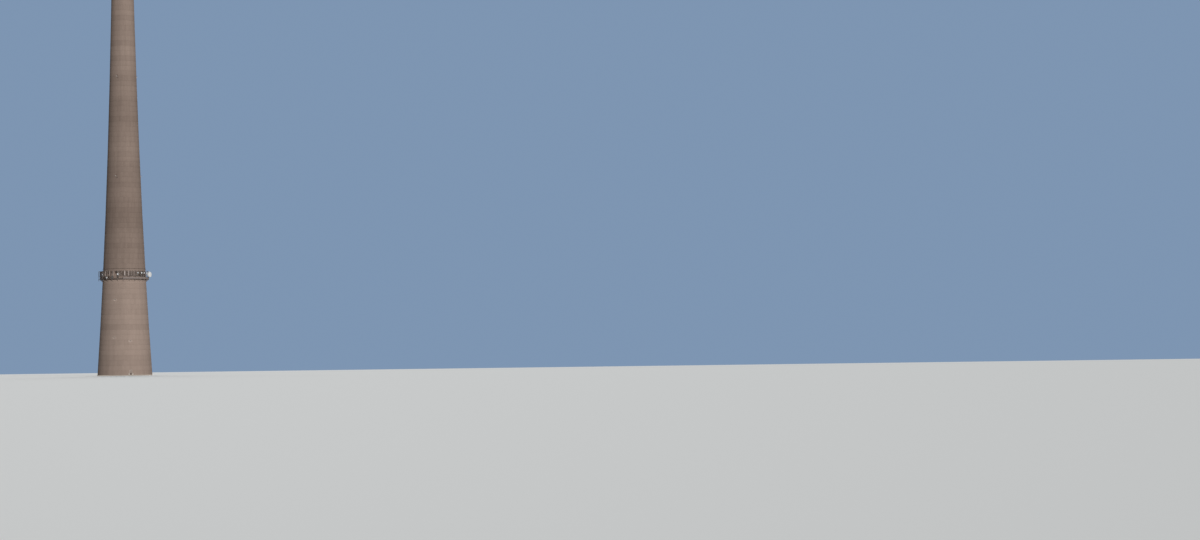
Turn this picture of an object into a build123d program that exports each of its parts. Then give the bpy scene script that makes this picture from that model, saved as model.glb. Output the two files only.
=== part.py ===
from build123d import *
import math
import os

# A tapered concrete radio tower with a ring gallery of antennas low on its shaft.
# It is a scale model at one tenth: a millimetre here is a centimetre on the real tower.
# Z is up and the origin is the centre of the underside of the base slab.
# Azimuths are in degrees, 0 on the -Y side and growing towards +X.
# A shape for an azimuth is made on the -Y side, the front, and then turned there.

# Shaft: distances from the axis are those of its flat form panels
shaft_height = 27430.0
foot_radius = 1220.0
top_radius = 320.0
flare_limit_radius = 120.0
foot_wall = 53.0
top_wall = 35.0
form_panels = 48
upper_stage_count = 4
lifts_per_stage = 2

# Base slab, the floor at the gallery's level, and the gap left round pieces that are set in place
base_slab_height = 30.0
base_slab_projection = 14.0
base_slab_bevel = 6.0
inner_floor_thickness = 25.0
fit_gap = 0.3

# Entrance door at the foot, and the door onto the gallery
entrance_azimuth = 15.0
entrance_width = 120.0
entrance_height = 230.0
gallery_door_azimuth = 180.0
gallery_door_width = 90.0
gallery_door_height = 205.0
door_reveal = 6.0
door_frame_width = 8.0
door_frame_depth = 14.0
door_leaf_thickness = 6.0
door_panel_margin = 14.0
door_panel_depth = 1.5
door_handle_length = 16.0
door_handle_height = 2.0
door_handle_reach = 4.0

# Louvred windows low on the shaft, each with a hood
window_width = 80.0
window_height = 90.0
lowest_window_sill = 1500.0
lower_window_sill = 1655.0
upper_window_sill = 3350.0
window_reveal = 8.0
window_frame_width = 6.0
window_frame_depth = 16.0
louvre_count = 4
louvre_depth = 13.0
louvre_thickness = 2.5
louvre_tilt = 35.0
hood_projection = 34.0
hood_drop = 14.0
hood_thickness = 4.0
hood_overlap = 12.0
hood_rise = 4.0

# Obstruction lights, three at each level above the gallery
light_azimuths = [-22.5, 97.5, 217.5]
light_level_count = 4
first_light_level = 9030.0
light_level_spacing = 4520.0
light_shelf_length = 46.0
light_bracket_width = 14.0
light_bracket_thickness = 4.0
light_bracket_height = 34.0
lamp_radius = 8.0
lamp_top_radius = 5.0
lamp_height = 22.0
lamp_sides = 6

# Ring gallery: frame
bay_count = 24
gallery_level = 4360.0
gallery_radius = 1085.0
bracket_depth = 130.0
bracket_end_depth = 28.0
bracket_thickness = 8.0
bracket_chord = 11.0
bracket_post_width = 7.0
outer_beam_width = 9.0
outer_beam_height = 24.0
inner_beam_width = 8.0
inner_beam_height = 20.0
grating_thickness = 4.0
grating_joint = 1.5
post_size = 10.0
post_height = 350.0
rail_size = 5.0
mid_rail_height = 56.0
top_rail_height = 112.0
band_rail_size = 8.0
band_rail_height = 340.0

# Ring gallery: fascia plates on all but these bays, and cross bracing on these
open_bays = [17, 18, 19, 20, 21, 22, 23]
braced_bays = [23, 20, 14, 6]
fascia_drop = 22.0
fascia_top = 66.0
fascia_thickness = 3.0
brace_size = 5.0
brace_bottom = 20.0

# Thin hoop above the gallery, and the arms that hold it off the shaft
hoop_height = 440.0
hoop_standoff = 25.0
hoop_size = 6.0
hoop_arm_height = 12.0
hoop_arm_thickness = 5.0

# Poles in front of the rails, which carry the antennas, and their clamps
pole_radius = 4.0
pole_sides = 6
pole_standoff = 12.0
pole_overhang = 12.0
clamp_width = 12.0
clamp_height = 8.0

# Panel antennas
wide_panel_azimuths = [3.5, -46.5, 128.0, 166.0, 219.0]
narrow_panel_azimuths = [11.5, 15.0, 19.5, 23.0, 26.5, 30.0, -34.5, -24.5, 136.0, 250.0]
wide_panel_width = 36.0
narrow_panel_width = 24.0
panel_depth = 10.0
panel_height = 200.0
panel_bottom = 128.0
panel_bevel = 3.0

# Drum antennas, and the large one on the right-hand side
small_drum_radius = 27.0
standard_drum_radius = 36.0
medium_drum_radius = 55.0
large_drum_radius = 120.0
low_drum_height = 38.0
middle_drum_height = 185.0
high_drum_height = 245.0
large_drum_azimuth = 76.0
large_drum_turn = -18.0
drum_sides = 12
large_drum_sides = 18
drum_bowl_share = 0.35
drum_shroud_share = 0.5
drum_radome_share = 0.08
drum_back_share = 0.3

# Radio units: boxes hung under the band rail, hung under the top rail, or stood on the top rail
radio_unit_width = 56.0
radio_unit_depth = 30.0
radio_unit_height = 90.0
small_radio_unit_height = 64.0
tall_radio_unit_height = 150.0
radio_unit_set_back = 3.0

# Lattice outrigger on the left-hand side, on the posts at these azimuths
outrigger_azimuths = [-90.0, -75.0]
outrigger_reach = 62.0
outrigger_drop = 90.0
outrigger_bar_radius = 4.0
outrigger_bar_sides = 4

# Equipment cabinets on the gallery
cabinet_azimuths = [-30.0, 60.0, 112.5, 240.0]
cabinet_width = 60.0
cabinet_depth = 36.0
cabinet_height = 130.0
cabinet_roof_thickness = 4.0
cabinet_roof_overhang = 3.0

# Room at the head of the shaft
head_sides = 12
head_slab_sides = 24
head_radius = 430.0
corbel_height = 240.0
corbel_wall = 34.0
head_floor_thickness = 25.0
head_wall_inset = 14.0
head_wall_height = 260.0
head_wall = 14.0
head_window_width = 120.0
head_window_height = 90.0
head_window_sill = 110.0
head_glass_thickness = 3.0
head_roof_thickness = 18.0
head_rail_inset = 20.0
head_rail_height = 105.0
head_rail_size = 5.0

# Mast on the head: a lattice stage, three stepped cylinders, a lamp and a rod
lattice_height = 1500.0
lattice_radius = 105.0
lattice_leg_radius = 11.0
lattice_leg_sides = 6
lattice_brace_radius = 5.0
lattice_brace_sides = 4
lattice_bay_count = 5
cylinder_sides = 16
cylinder_skin = 5.0
lower_cylinder_radius = 82.0
lower_cylinder_length = 1570.0
middle_cylinder_radius = 58.0
middle_cylinder_length = 1230.0
top_cylinder_radius = 32.0
top_cylinder_length = 617.0
flange_thickness = 10.0
flange_overhang = 10.0
rod_radius = 3.0
rod_height = 150.0
top_lamp_radius = 10.0
top_lamp_height = 24.0

# Worked out from the sizes above
flare_rate = math.log((foot_radius - flare_limit_radius) / (top_radius - flare_limit_radius)) / shaft_height
upper_stage_height = (shaft_height - gallery_level) / upper_stage_count
bay_angle = 360.0 / bay_count
half_bay = math.radians(bay_angle / 2)
bracket_top = gallery_level - grating_thickness
head_floor_top = shaft_height + corbel_height + head_floor_thickness
head_roof_top = head_floor_top + head_wall_height + head_roof_thickness

shaft_windows = [(-22.5, lower_window_sill), (-22.5, upper_window_sill), (15.0, lowest_window_sill),
                 (157.5, lower_window_sill), (157.5, upper_window_sill)]
drums = [(-41.5, low_drum_height, standard_drum_radius), (-12.5, middle_drum_height, standard_drum_radius),
         (-57.0, middle_drum_height, small_drum_radius), (35.0, high_drum_height, small_drum_radius),
         (45.0, high_drum_height, standard_drum_radius), (54.5, high_drum_height, small_drum_radius),
         (65.0, high_drum_height, small_drum_radius), (118.0, high_drum_height, medium_drum_radius),
         (150.0, middle_drum_height, small_drum_radius), (205.0, middle_drum_height, medium_drum_radius),
         (240.0, high_drum_height, small_drum_radius)]
hung_units = [(-63.5, radio_unit_height), (-49.5, radio_unit_height), (-37.5, radio_unit_height),
              (-26.5, radio_unit_height), (-17.5, radio_unit_height), (50.5, tall_radio_unit_height)]
low_units = [-63.0, -48.5, -37.5, -12.5]
stood_units = [41.0]

parts = {}


def curve_radius(height):
    """Outer radius of the tower's taper curve at a height."""
    return flare_limit_radius + (foot_radius - flare_limit_radius) * math.exp(-flare_rate * height)


def curve_bore(height):
    """Inner radius of the taper curve at a height."""
    return curve_radius(height) - foot_wall - (top_wall - foot_wall) * height / shaft_height


def stage_levels():
    """Heights between the pours of the shaft, from the slab to the top."""
    upper = [gallery_level + index * upper_stage_height for index in range(upper_stage_count + 1)]
    return [base_slab_height] + upper


def lift_levels(stage):
    """Heights between the straight lifts of one pour."""
    bottom, top = stage_levels()[stage:stage + 2]
    return [bottom + (top - bottom) * index / lifts_per_stage for index in range(lifts_per_stage + 1)]


def shaft_radius(height):
    """Distance from the axis of the shaft's flat panels at a height, straight along each lift."""
    for stage in range(upper_stage_count + 1):
        levels = lift_levels(stage)
        for low, high in zip(levels, levels[1:]):
            if height <= high:
                share = (height - low) / (high - low)
                return curve_radius(low) * (1 - share) + curve_radius(high) * share
    return top_radius


def shaft_corner(height):
    """Distance from the axis of the corners between the shaft's panels at a height."""
    return shaft_radius(height) / math.cos(math.pi / form_panels)


def turned(shape, azimuth):
    """A copy of a shape made on the front, turned about the tower to an azimuth."""
    return Rot(0, 0, azimuth) * shape


def around(shape, indexes, offset):
    """Copies of a front shape at bays: their middles for an offset of a half, their posts for 0."""
    return [turned(shape, (index + offset) * bay_angle) for index in indexes]


def block(width, depth, height, distance, bottom):
    """A block on the front, its middle at a distance from the axis, standing on a height."""
    return Pos(0, -distance, bottom) * Box(width, depth, height, align=(Align.CENTER, Align.CENTER, Align.MIN))


def flat_polygon(radius, sides):
    """A polygon with a flat on the front, at a distance from the axis."""
    return RegularPolygon(radius, sides, major_radius=False, rotation=180 / sides)


def prism(radius, sides, height, bottom):
    """A prism on the axis, with a flat on the front."""
    return Pos(0, 0, bottom) * extrude(flat_polygon(radius, sides), height)


def tapered_prism(low_radius, high_radius, sides, height, bottom):
    """A prism on the axis whose flat sides lean in from its wider end to its narrower one."""
    wide = max(low_radius, high_radius)
    lean = math.degrees(math.atan2(abs(low_radius - high_radius), height))
    leaning = extrude(flat_polygon(wide, sides), height, taper=lean)
    if high_radius > low_radius:
        leaning = Pos(0, 0, height) * Rot(180, 0, 0) * leaning
    return Pos(0, 0, bottom) * leaning


def rod_between(start, end, radius, sides):
    """A straight bar of few sides between two points."""
    along = Vector(*end) - Vector(*start)
    return extrude(Plane(origin=start, z_dir=along) * RegularPolygon(radius, sides), along.length)


def at(azimuth, distance, height):
    """The point at an azimuth, a distance from the axis and a height."""
    turn = math.radians(azimuth)
    return (distance * math.sin(turn), -distance * math.cos(turn), height)


def fused(shapes):
    """One solid from shapes that cross or touch."""
    return shapes[0] + shapes[1:]


def build_base():
    """The slab under the shaft, which shows as a low bevelled kicker round its foot."""
    radius = foot_radius + base_slab_projection
    upright = base_slab_height - base_slab_bevel
    slab = prism(radius, form_panels, upright, 0)
    slab += tapered_prism(radius, radius - base_slab_bevel, form_panels, base_slab_bevel, upright)
    parts["base_slab"] = slab


def shaft_stage(stage):
    """One pour of the hollow shaft: straight lifts of flat panels along the taper curve."""
    levels = lift_levels(stage)
    lifts = []
    for low, high in zip(levels, levels[1:]):
        outer = tapered_prism(curve_radius(low), curve_radius(high), form_panels, high - low, low)
        bore = tapered_prism(curve_bore(low), curve_bore(high), form_panels, high - low, low)
        lifts.append(outer - bore)
    return fused(lifts)


def wall_opening(azimuth, width, height, sill):
    """A block that cuts a doorway or a window through the shaft's wall."""
    outer = shaft_radius(sill) + foot_wall
    inner = curve_bore(sill + height) - foot_wall
    return turned(block(width, outer - inner, height, (outer + inner) / 2, sill), azimuth)


def build_shaft():
    """The pours of the shaft with their openings, and the floor let in at the gallery's level."""
    floor_radius = (curve_radius(gallery_level) + curve_bore(gallery_level)) / 2
    floor_bottom = gallery_level - inner_floor_thickness
    for stage in range(upper_stage_count + 1):
        pour = shaft_stage(stage)
        if stage == 0:
            pour -= wall_opening(entrance_azimuth, entrance_width, entrance_height, base_slab_height)
            for azimuth, sill in shaft_windows:
                pour -= wall_opening(azimuth, window_width, window_height, sill)
            pour -= prism(floor_radius + fit_gap, form_panels, inner_floor_thickness, floor_bottom)
        if stage == 1:
            pour -= wall_opening(gallery_door_azimuth, gallery_door_width, gallery_door_height, gallery_level)
        parts["shaft_stage_%d" % (stage + 1)] = pour
    parts["gallery_level_floor"] = prism(floor_radius, form_panels, inner_floor_thickness, floor_bottom)


def opening_frame(width, height, member, depth, sill_member):
    """A frame that lines an opening: two jambs, a head and, for a window, a sill."""
    hole_height = height - member - sill_member
    outline = Pos(0, height / 2) * Rectangle(width, height)
    outline -= Pos(0, sill_member + hole_height / 2) * Rectangle(width - 2 * member, hole_height)
    return extrude(Plane.XZ * outline, depth / 2, both=True)


def set_in_wall(shape, azimuth, sill, height, reveal, depth):
    """A shape made about the origin, moved into an opening behind the wall's face."""
    distance = shaft_radius(sill + height) - reveal - depth / 2
    return turned(Pos(0, -distance, sill) * shape, azimuth)


def door_leaf(width, height):
    """A steel leaf with two sunk panels and a lever handle."""
    leaf = Pos(0, 0, height / 2) * Box(width, door_leaf_thickness, height)
    face = -door_leaf_thickness / 2
    panel_height = (height - 3 * door_panel_margin) / 2
    panel = Box(width - 2 * door_panel_margin, 2 * door_panel_depth, panel_height)
    for row in range(2):
        middle = door_panel_margin + panel_height / 2 + row * (panel_height + door_panel_margin)
        leaf -= Pos(0, face, middle) * panel
    handle_x = width / 2 - door_panel_margin / 2 - door_handle_length / 2
    handle = Box(door_handle_length, 2 * door_handle_reach, door_handle_height)
    return leaf + Pos(handle_x, face, height / 2) * handle


def add_door(name, azimuth, sill, width, height):
    """A frame and a closed leaf for a doorway of the shaft."""
    frame_width = width - 2 * fit_gap
    frame_height = height - fit_gap
    frame = opening_frame(frame_width, frame_height, door_frame_width, door_frame_depth, 0)
    parts[name + "_frame"] = set_in_wall(frame, azimuth, sill, height, door_reveal, door_frame_depth)
    leaf = door_leaf(frame_width - 2 * (door_frame_width + fit_gap), frame_height - door_frame_width - 2 * fit_gap)
    leaf = Pos(0, 0, fit_gap) * leaf
    parts[name] = set_in_wall(leaf, azimuth, sill, height, door_reveal, door_frame_depth)


def louvre_blades():
    """The sloping blades of a window, between the jambs of its frame."""
    width = window_width - 2 * window_frame_width - 4 * fit_gap
    pitch = (window_height - 2 * window_frame_width) / louvre_count
    blade = Rot(louvre_tilt, 0, 0) * Box(width, louvre_depth, louvre_thickness)
    return [Pos(0, 0, window_frame_width + (row + 0.5) * pitch) * blade for row in range(louvre_count)]


def window_hood():
    """A sloping hood, thicker where it meets the wall."""
    outline = Polygon((0, 0), (hood_projection, -hood_drop), (hood_projection, hood_thickness - hood_drop),
                      (0, 2 * hood_thickness), align=None)
    width = window_width + 2 * hood_overlap
    return Rot(0, 0, 180) * extrude(Plane.YZ * outline, width / 2, both=True)


def build_openings():
    """Doors, and the frames, louvres and hoods of the shaft's windows."""
    add_door("entrance_door", entrance_azimuth, base_slab_height, entrance_width, entrance_height)
    add_door("gallery_door", gallery_door_azimuth, gallery_level, gallery_door_width, gallery_door_height)
    frame = opening_frame(window_width - 2 * fit_gap, window_height - 2 * fit_gap, window_frame_width,
                          window_frame_depth, window_frame_width)
    frame = Pos(0, 0, fit_gap) * frame
    frames = []
    blades = []
    hoods = []
    for azimuth, sill in shaft_windows:
        place = (azimuth, sill, window_height, window_reveal, window_frame_depth)
        frames.append(set_in_wall(frame, *place))
        blades += [set_in_wall(blade, *place) for blade in louvre_blades()]
        hood_level = sill + window_height + hood_rise
        hood = Pos(0, -shaft_radius(hood_level) - fit_gap, hood_level) * window_hood()
        hoods.append(turned(hood, azimuth))
    parts["window_frames"] = Compound(children=frames)
    parts["window_louvres"] = Compound(children=blades)
    parts["window_hoods"] = Compound(children=hoods)


def build_obstruction_lights():
    """A bracket and a lamp at each azimuth of each level of lights."""
    brackets = []
    lamps = []
    for row in range(light_level_count):
        level = first_light_level + row * light_level_spacing
        foot = level - light_bracket_height
        wall = shaft_radius(foot) + fit_gap
        bracket = block(light_bracket_width, light_bracket_thickness, light_bracket_height,
                        wall + light_bracket_thickness / 2, foot)
        bracket += block(light_bracket_width, light_shelf_length, light_bracket_thickness,
                         wall + light_shelf_length / 2, level - light_bracket_thickness)
        lamp = tapered_prism(lamp_radius, lamp_top_radius, lamp_sides, lamp_height, 0)
        lamp = Pos(0, lamp_radius - wall - light_shelf_length, level) * lamp
        brackets += [turned(bracket, azimuth) for azimuth in light_azimuths]
        lamps += [turned(lamp, azimuth) for azimuth in light_azimuths]
    parts["obstruction_light_brackets"] = Compound(children=brackets)
    parts["obstruction_lights"] = Compound(children=lamps)


def gallery_bracket():
    """A triangulated cantilever bracket in the radial plane of the front, against the shaft."""
    outer = gallery_radius + outer_beam_width / 2
    foot = bracket_top - bracket_depth
    end_bottom = bracket_top - bracket_end_depth
    wall_top = shaft_radius(bracket_top) + fit_gap
    wall_foot = shaft_radius(foot) + fit_gap
    outline = Polygon((wall_top, bracket_top), (outer, bracket_top), (outer, end_bottom), (wall_foot, foot),
                      align=None)
    lean = (end_bottom - foot) / (outer - wall_foot)
    chord_rise = bracket_chord * math.sqrt(1 + lean ** 2)
    void_start = wall_foot + bracket_chord
    void_end = outer - bracket_chord
    void_top = bracket_top - bracket_chord
    void = Polygon((void_start, void_top), (void_end, void_top),
                   (void_end, foot + (void_end - wall_foot) * lean + chord_rise),
                   (void_start, foot + bracket_chord * lean + chord_rise), align=None)
    middle = (void_start + void_end) / 2
    void -= Pos(middle, bracket_top - bracket_depth / 2) * Rectangle(bracket_post_width, bracket_depth)
    return extrude(Plane.YZ * mirror(outline - void, Plane.YZ), bracket_thickness / 2, both=True)


def chord_bar(radius, width, height, bottom, carrier):
    """A straight bar across the front bay, ending just short of carriers that wide at its two posts."""
    ends = (carrier + width * math.sin(half_bay)) / math.cos(half_bay) + 2 * fit_gap
    length = 2 * radius * math.sin(half_bay) - ends
    return block(length, width, height, radius * math.cos(half_bay), bottom)


def build_gallery_frame():
    """Brackets, beams, grating, posts and rails of the ring gallery."""
    bays = range(bay_count)
    parts["gallery_brackets"] = Compound(children=around(gallery_bracket(), bays, 0))

    outer_beam = chord_bar(gallery_radius, outer_beam_width, outer_beam_height, bracket_top - outer_beam_height,
                           bracket_thickness)
    parts["gallery_outer_beam"] = Compound(children=around(outer_beam, bays, 0.5))

    inner_bottom = bracket_top - inner_beam_height
    inner_radius = (shaft_corner(inner_bottom) + fit_gap + inner_beam_width / 2) / math.cos(half_bay)
    inner_beam = chord_bar(inner_radius, inner_beam_width, inner_beam_height, inner_bottom, bracket_thickness)
    parts["gallery_inner_beam"] = Compound(children=around(inner_beam, bays, 0.5))

    inner_edge = shaft_corner(bracket_top) + fit_gap
    outer_edge = (gallery_radius - post_size / 2 - fit_gap) * math.cos(half_bay) - post_size * math.sin(half_bay) / 2
    joint = grating_joint / 2 / math.cos(half_bay)
    inner_half = inner_edge * math.tan(half_bay) - joint
    outer_half = outer_edge * math.tan(half_bay) - joint
    panel = Polygon((-outer_half, -outer_edge), (outer_half, -outer_edge), (inner_half, -inner_edge),
                    (-inner_half, -inner_edge), align=None)
    grating = Pos(0, 0, bracket_top) * extrude(panel, grating_thickness)
    parts["gallery_grating"] = Compound(children=around(grating, bays, 0.5))

    post = block(post_size, post_size, post_height + grating_thickness, gallery_radius, bracket_top)
    parts["gallery_posts"] = Compound(children=around(post, bays, 0))

    rails = []
    for height, size, railed_bays in ((mid_rail_height, rail_size, open_bays), (top_rail_height, rail_size, bays),
                                      (band_rail_height, band_rail_size, bays)):
        rail = chord_bar(gallery_radius, size, size, gallery_level + height - size / 2, post_size)
        rails += around(rail, railed_bays, 0.5)
    parts["gallery_rails"] = Compound(children=rails)


def build_gallery_cladding():
    """Fascia plates and cross braces on the outside of the posts."""
    post_corner = (gallery_radius + post_size / 2) * math.cos(half_bay) + post_size / 2 * math.sin(half_bay)
    face = post_corner + fit_gap
    width = 2 * face * math.tan(half_bay) - 2 * fit_gap
    plate = block(width, fascia_thickness, fascia_top + fascia_drop, face + fascia_thickness / 2,
                  gallery_level - fascia_drop)
    plated_bays = [bay for bay in range(bay_count) if bay not in open_bays]
    parts["gallery_fascia"] = Compound(children=around(plate, plated_bays, 0.5))

    clear_bottom = gallery_level + max(brace_bottom, fascia_top + brace_size)
    braces = []
    for bay in braced_bays:
        low = gallery_level + brace_bottom if bay in open_bays else clear_bottom
        high = gallery_level + band_rail_height
        span = width - 2 * brace_size
        rise = math.degrees(math.atan2(high - low, span))
        bar = Box(math.hypot(high - low, span), brace_size, brace_size)
        cross = Rot(0, rise, 0) * bar + Rot(0, -rise, 0) * bar
        cross = Pos(0, -face - brace_size / 2, (low + high) / 2) * cross
        braces += around(cross, [bay], 0.5)
    parts["gallery_cross_braces"] = Compound(children=braces)


def build_hoop():
    """The thin hoop above the gallery and the arms that hold it off the shaft."""
    level = gallery_level + hoop_height
    radius = shaft_corner(level) + hoop_standoff
    arm_bottom = level - hoop_arm_height / 2
    start = shaft_radius(arm_bottom) + fit_gap
    end = radius + hoop_size / 2
    arm = block(hoop_arm_thickness, end - start, hoop_arm_height, (start + end) / 2, arm_bottom)
    parts["hoop_arms"] = Compound(children=around(arm, range(bay_count), 0))
    bar = chord_bar(radius, hoop_size, hoop_size, level - hoop_size / 2, hoop_arm_thickness)
    parts["upper_hoop"] = Compound(children=around(bar, range(bay_count), 0.5))


def from_bay_middle(azimuth):
    """Angle, in radians, between an azimuth and the middle of its bay."""
    return abs(math.radians(azimuth % bay_angle - bay_angle / 2))


def rail_face(azimuth, size):
    """Radial distance of the outer face of a rail at an azimuth."""
    return (gallery_radius * math.cos(half_bay) + size / 2) / math.cos(from_bay_middle(azimuth))


def pole_distance(azimuth):
    """Distance from the axis of an antenna pole in front of the rails."""
    return rail_face(azimuth, band_rail_size) + pole_standoff + pole_radius


def pole_front(azimuth):
    """Distance from the axis at which a load seats on the front of its pole."""
    return pole_distance(azimuth) + pole_radius + fit_gap


def antenna_pole(azimuth, lowest):
    """A vertical pole from below its lowest load or the top rail to above the band rail."""
    bottom = gallery_level + min(lowest, top_rail_height) - pole_overhang
    height = gallery_level + band_rail_height + pole_overhang - bottom
    pole = extrude(RegularPolygon(pole_radius, pole_sides, rotation=90), height)
    return turned(Pos(0, -pole_distance(azimuth), bottom) * pole, azimuth)


def clamp_seat(azimuth, size):
    """Radial distance at which a clamp meets a rail, or the post that stands behind it."""
    past_post = (azimuth + bay_angle / 2) % bay_angle - bay_angle / 2
    aside = gallery_radius * abs(math.sin(math.radians(past_post)))
    if aside < (post_size + clamp_width) / 2 + fit_gap:
        return gallery_radius + post_size / 2 + fit_gap
    lean = from_bay_middle(azimuth)
    return rail_face(azimuth, size) + (fit_gap + clamp_width / 2 * math.sin(lean)) / math.cos(lean)


def pole_clamps(azimuth):
    """Two clamps that hold a pole off the top rail and the band rail."""
    clamps = []
    for height, size in ((top_rail_height, rail_size), (band_rail_height, band_rail_size)):
        start = clamp_seat(azimuth, size)
        end = pole_distance(azimuth) - pole_radius - fit_gap
        clamp = block(clamp_width, end - start, clamp_height, (start + end) / 2,
                      gallery_level + height - clamp_height / 2)
        clamps.append(turned(clamp, azimuth))
    return clamps


def panel_antenna(azimuth, width):
    """A tall panel antenna with a bevelled radome, on the front of its pole."""
    back = pole_front(azimuth)
    front = back + panel_depth
    half = width / 2
    outline = Polygon((-half, -back), (-half, panel_bevel - front), (panel_bevel - half, -front),
                      (half - panel_bevel, -front), (half, panel_bevel - front), (half, -back), align=None)
    panel = Pos(0, 0, gallery_level + panel_bottom) * extrude(outline, panel_height)
    return turned(panel, azimuth)


def drum_antenna(azimuth, height, radius, sides, turn=0.0):
    """A shrouded dish: bowl, straight shroud and a low radome, turned about its pole by an angle."""
    bowl = radius * drum_bowl_share
    shroud = radius * drum_shroud_share
    radome = radius * drum_radome_share
    drum = tapered_prism(radius * drum_back_share, radius, sides, bowl, 0)
    drum += prism(radius, sides, shroud, bowl)
    drum += tapered_prism(radius, radius - 2 * radome, sides, radome, bowl + shroud)
    drum = Rot(0, 0, turn) * Pos(0, -pole_radius - fit_gap, gallery_level + height) * Rot(90, 0, 0) * drum
    return turned(Pos(0, -pole_distance(azimuth), 0) * drum, azimuth)


def radio_unit(azimuth, height, bottom):
    """A box of radio equipment close behind the rails of its bay."""
    middle = (azimuth // bay_angle + 0.5) * bay_angle
    chord = gallery_radius * math.cos(half_bay)
    aside = chord * math.tan(math.radians(azimuth - middle))
    unit = block(radio_unit_width, radio_unit_depth, height, chord - radio_unit_set_back - radio_unit_depth / 2,
                 gallery_level + bottom)
    return turned(Pos(aside, 0, 0) * unit, middle)


def build_radio_units():
    """Radio units along the front of the gallery, each against a rail."""
    under_band = band_rail_height - band_rail_size / 2 - fit_gap
    under_top = top_rail_height - rail_size / 2 - fit_gap
    over_top = top_rail_height + rail_size / 2 + fit_gap
    units = [radio_unit(azimuth, height, under_band - height) for azimuth, height in hung_units]
    units += [radio_unit(azimuth, small_radio_unit_height, under_top - small_radio_unit_height)
              for azimuth in low_units]
    units += [radio_unit(azimuth, small_radio_unit_height, over_top) for azimuth in stood_units]
    parts["radio_units"] = Compound(children=units)


def build_antennas():
    """Panels and drums, with the poles and clamps that carry them."""
    panels = [(azimuth, wide_panel_width) for azimuth in wide_panel_azimuths]
    panels += [(azimuth, narrow_panel_width) for azimuth in narrow_panel_azimuths]
    loads = [(azimuth, panel_bottom) for azimuth, width in panels]
    loads += [(azimuth, height - radius * drum_back_share) for azimuth, height, radius in drums]
    loads.append((large_drum_azimuth, top_rail_height))
    parts["antenna_poles"] = Compound(children=[antenna_pole(*load) for load in loads])
    parts["pole_clamps"] = Compound(children=[clamp for load in loads for clamp in pole_clamps(load[0])])
    parts["panel_antennas"] = Compound(children=[panel_antenna(*panel) for panel in panels])
    parts["drum_antennas"] = Compound(children=[drum_antenna(*drum, drum_sides) for drum in drums])
    parts["large_drum_antenna"] = drum_antenna(large_drum_azimuth, middle_drum_height, large_drum_radius,
                                               large_drum_sides, large_drum_turn)


def build_outrigger():
    """The lattice frame that stands out from two posts on the left-hand side."""
    reach = gallery_radius + outrigger_reach
    post_face = gallery_radius + post_size / 2 + fit_gap
    bottom = gallery_level - outrigger_drop
    beam = bracket_top - bracket_end_depth / 2
    middle = gallery_level + top_rail_height
    top = gallery_level + band_rail_height
    bars = []
    for azimuth in outrigger_azimuths:
        upright = at(azimuth, reach, bottom)
        bars.append((upright, at(azimuth, reach, gallery_level + post_height)))
        bars.append((at(azimuth, post_face, middle), at(azimuth, reach, middle)))
        bars.append((at(azimuth, post_face, top), at(azimuth, reach, top)))
        bars.append((at(azimuth, post_face, beam), at(azimuth, reach, beam)))
    left, right = outrigger_azimuths
    for level in (bottom, beam, middle, top):
        bars.append((at(left, reach, level), at(right, reach, level)))
    for low, high in ((bottom, beam), (middle, top)):
        bars.append((at(left, reach, low), at(right, reach, high)))
        bars.append((at(right, reach, low), at(left, reach, high)))
    rods = [rod_between(start, end, outrigger_bar_radius, outrigger_bar_sides) for start, end in bars]
    parts["antenna_outrigger"] = fused(rods)


def build_cabinets():
    """Equipment cabinets that stand on the grating, their backs to the shaft."""
    distance = shaft_corner(gallery_level) + fit_gap + cabinet_depth / 2
    body = block(cabinet_width, cabinet_depth, cabinet_height, distance, gallery_level)
    roof = block(cabinet_width + 2 * cabinet_roof_overhang, cabinet_depth, cabinet_roof_thickness, distance,
                 gallery_level + cabinet_height)
    cabinets = [turned(body + roof, azimuth) for azimuth in cabinet_azimuths]
    parts["equipment_cabinets"] = Compound(children=cabinets)


def build_head():
    """The room at the top of the shaft: corbel, floor, walls, glass, roof and railing."""
    corbel = tapered_prism(top_radius, head_radius, head_slab_sides, corbel_height, shaft_height)
    corbel -= tapered_prism(top_radius - corbel_wall, head_radius - corbel_wall, head_slab_sides, corbel_height,
                            shaft_height)
    parts["head_corbel"] = corbel
    parts["head_floor"] = prism(head_radius, head_slab_sides, head_floor_thickness, shaft_height + corbel_height)

    flat = head_radius - head_wall_inset
    walls = prism(flat, head_sides, head_wall_height, head_floor_top)
    walls -= prism(flat - head_wall, head_sides, head_wall_height, head_floor_top)
    sill = head_floor_top + head_window_sill
    opening = block(head_window_width, 3 * head_wall, head_window_height, flat, sill)
    pane = block(head_window_width - 2 * fit_gap, head_glass_thickness, head_window_height - 2 * fit_gap,
                 flat - head_wall / 2, sill + fit_gap)
    side_azimuths = [side * 360 / head_sides for side in range(head_sides)]
    for azimuth in side_azimuths:
        walls -= turned(opening, azimuth)
    parts["head_walls"] = walls
    parts["head_windows"] = Compound(children=[turned(pane, azimuth) for azimuth in side_azimuths])
    parts["head_roof"] = prism(head_radius, head_slab_sides, head_roof_thickness, head_floor_top + head_wall_height)
    build_head_railing(side_azimuths)


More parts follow.
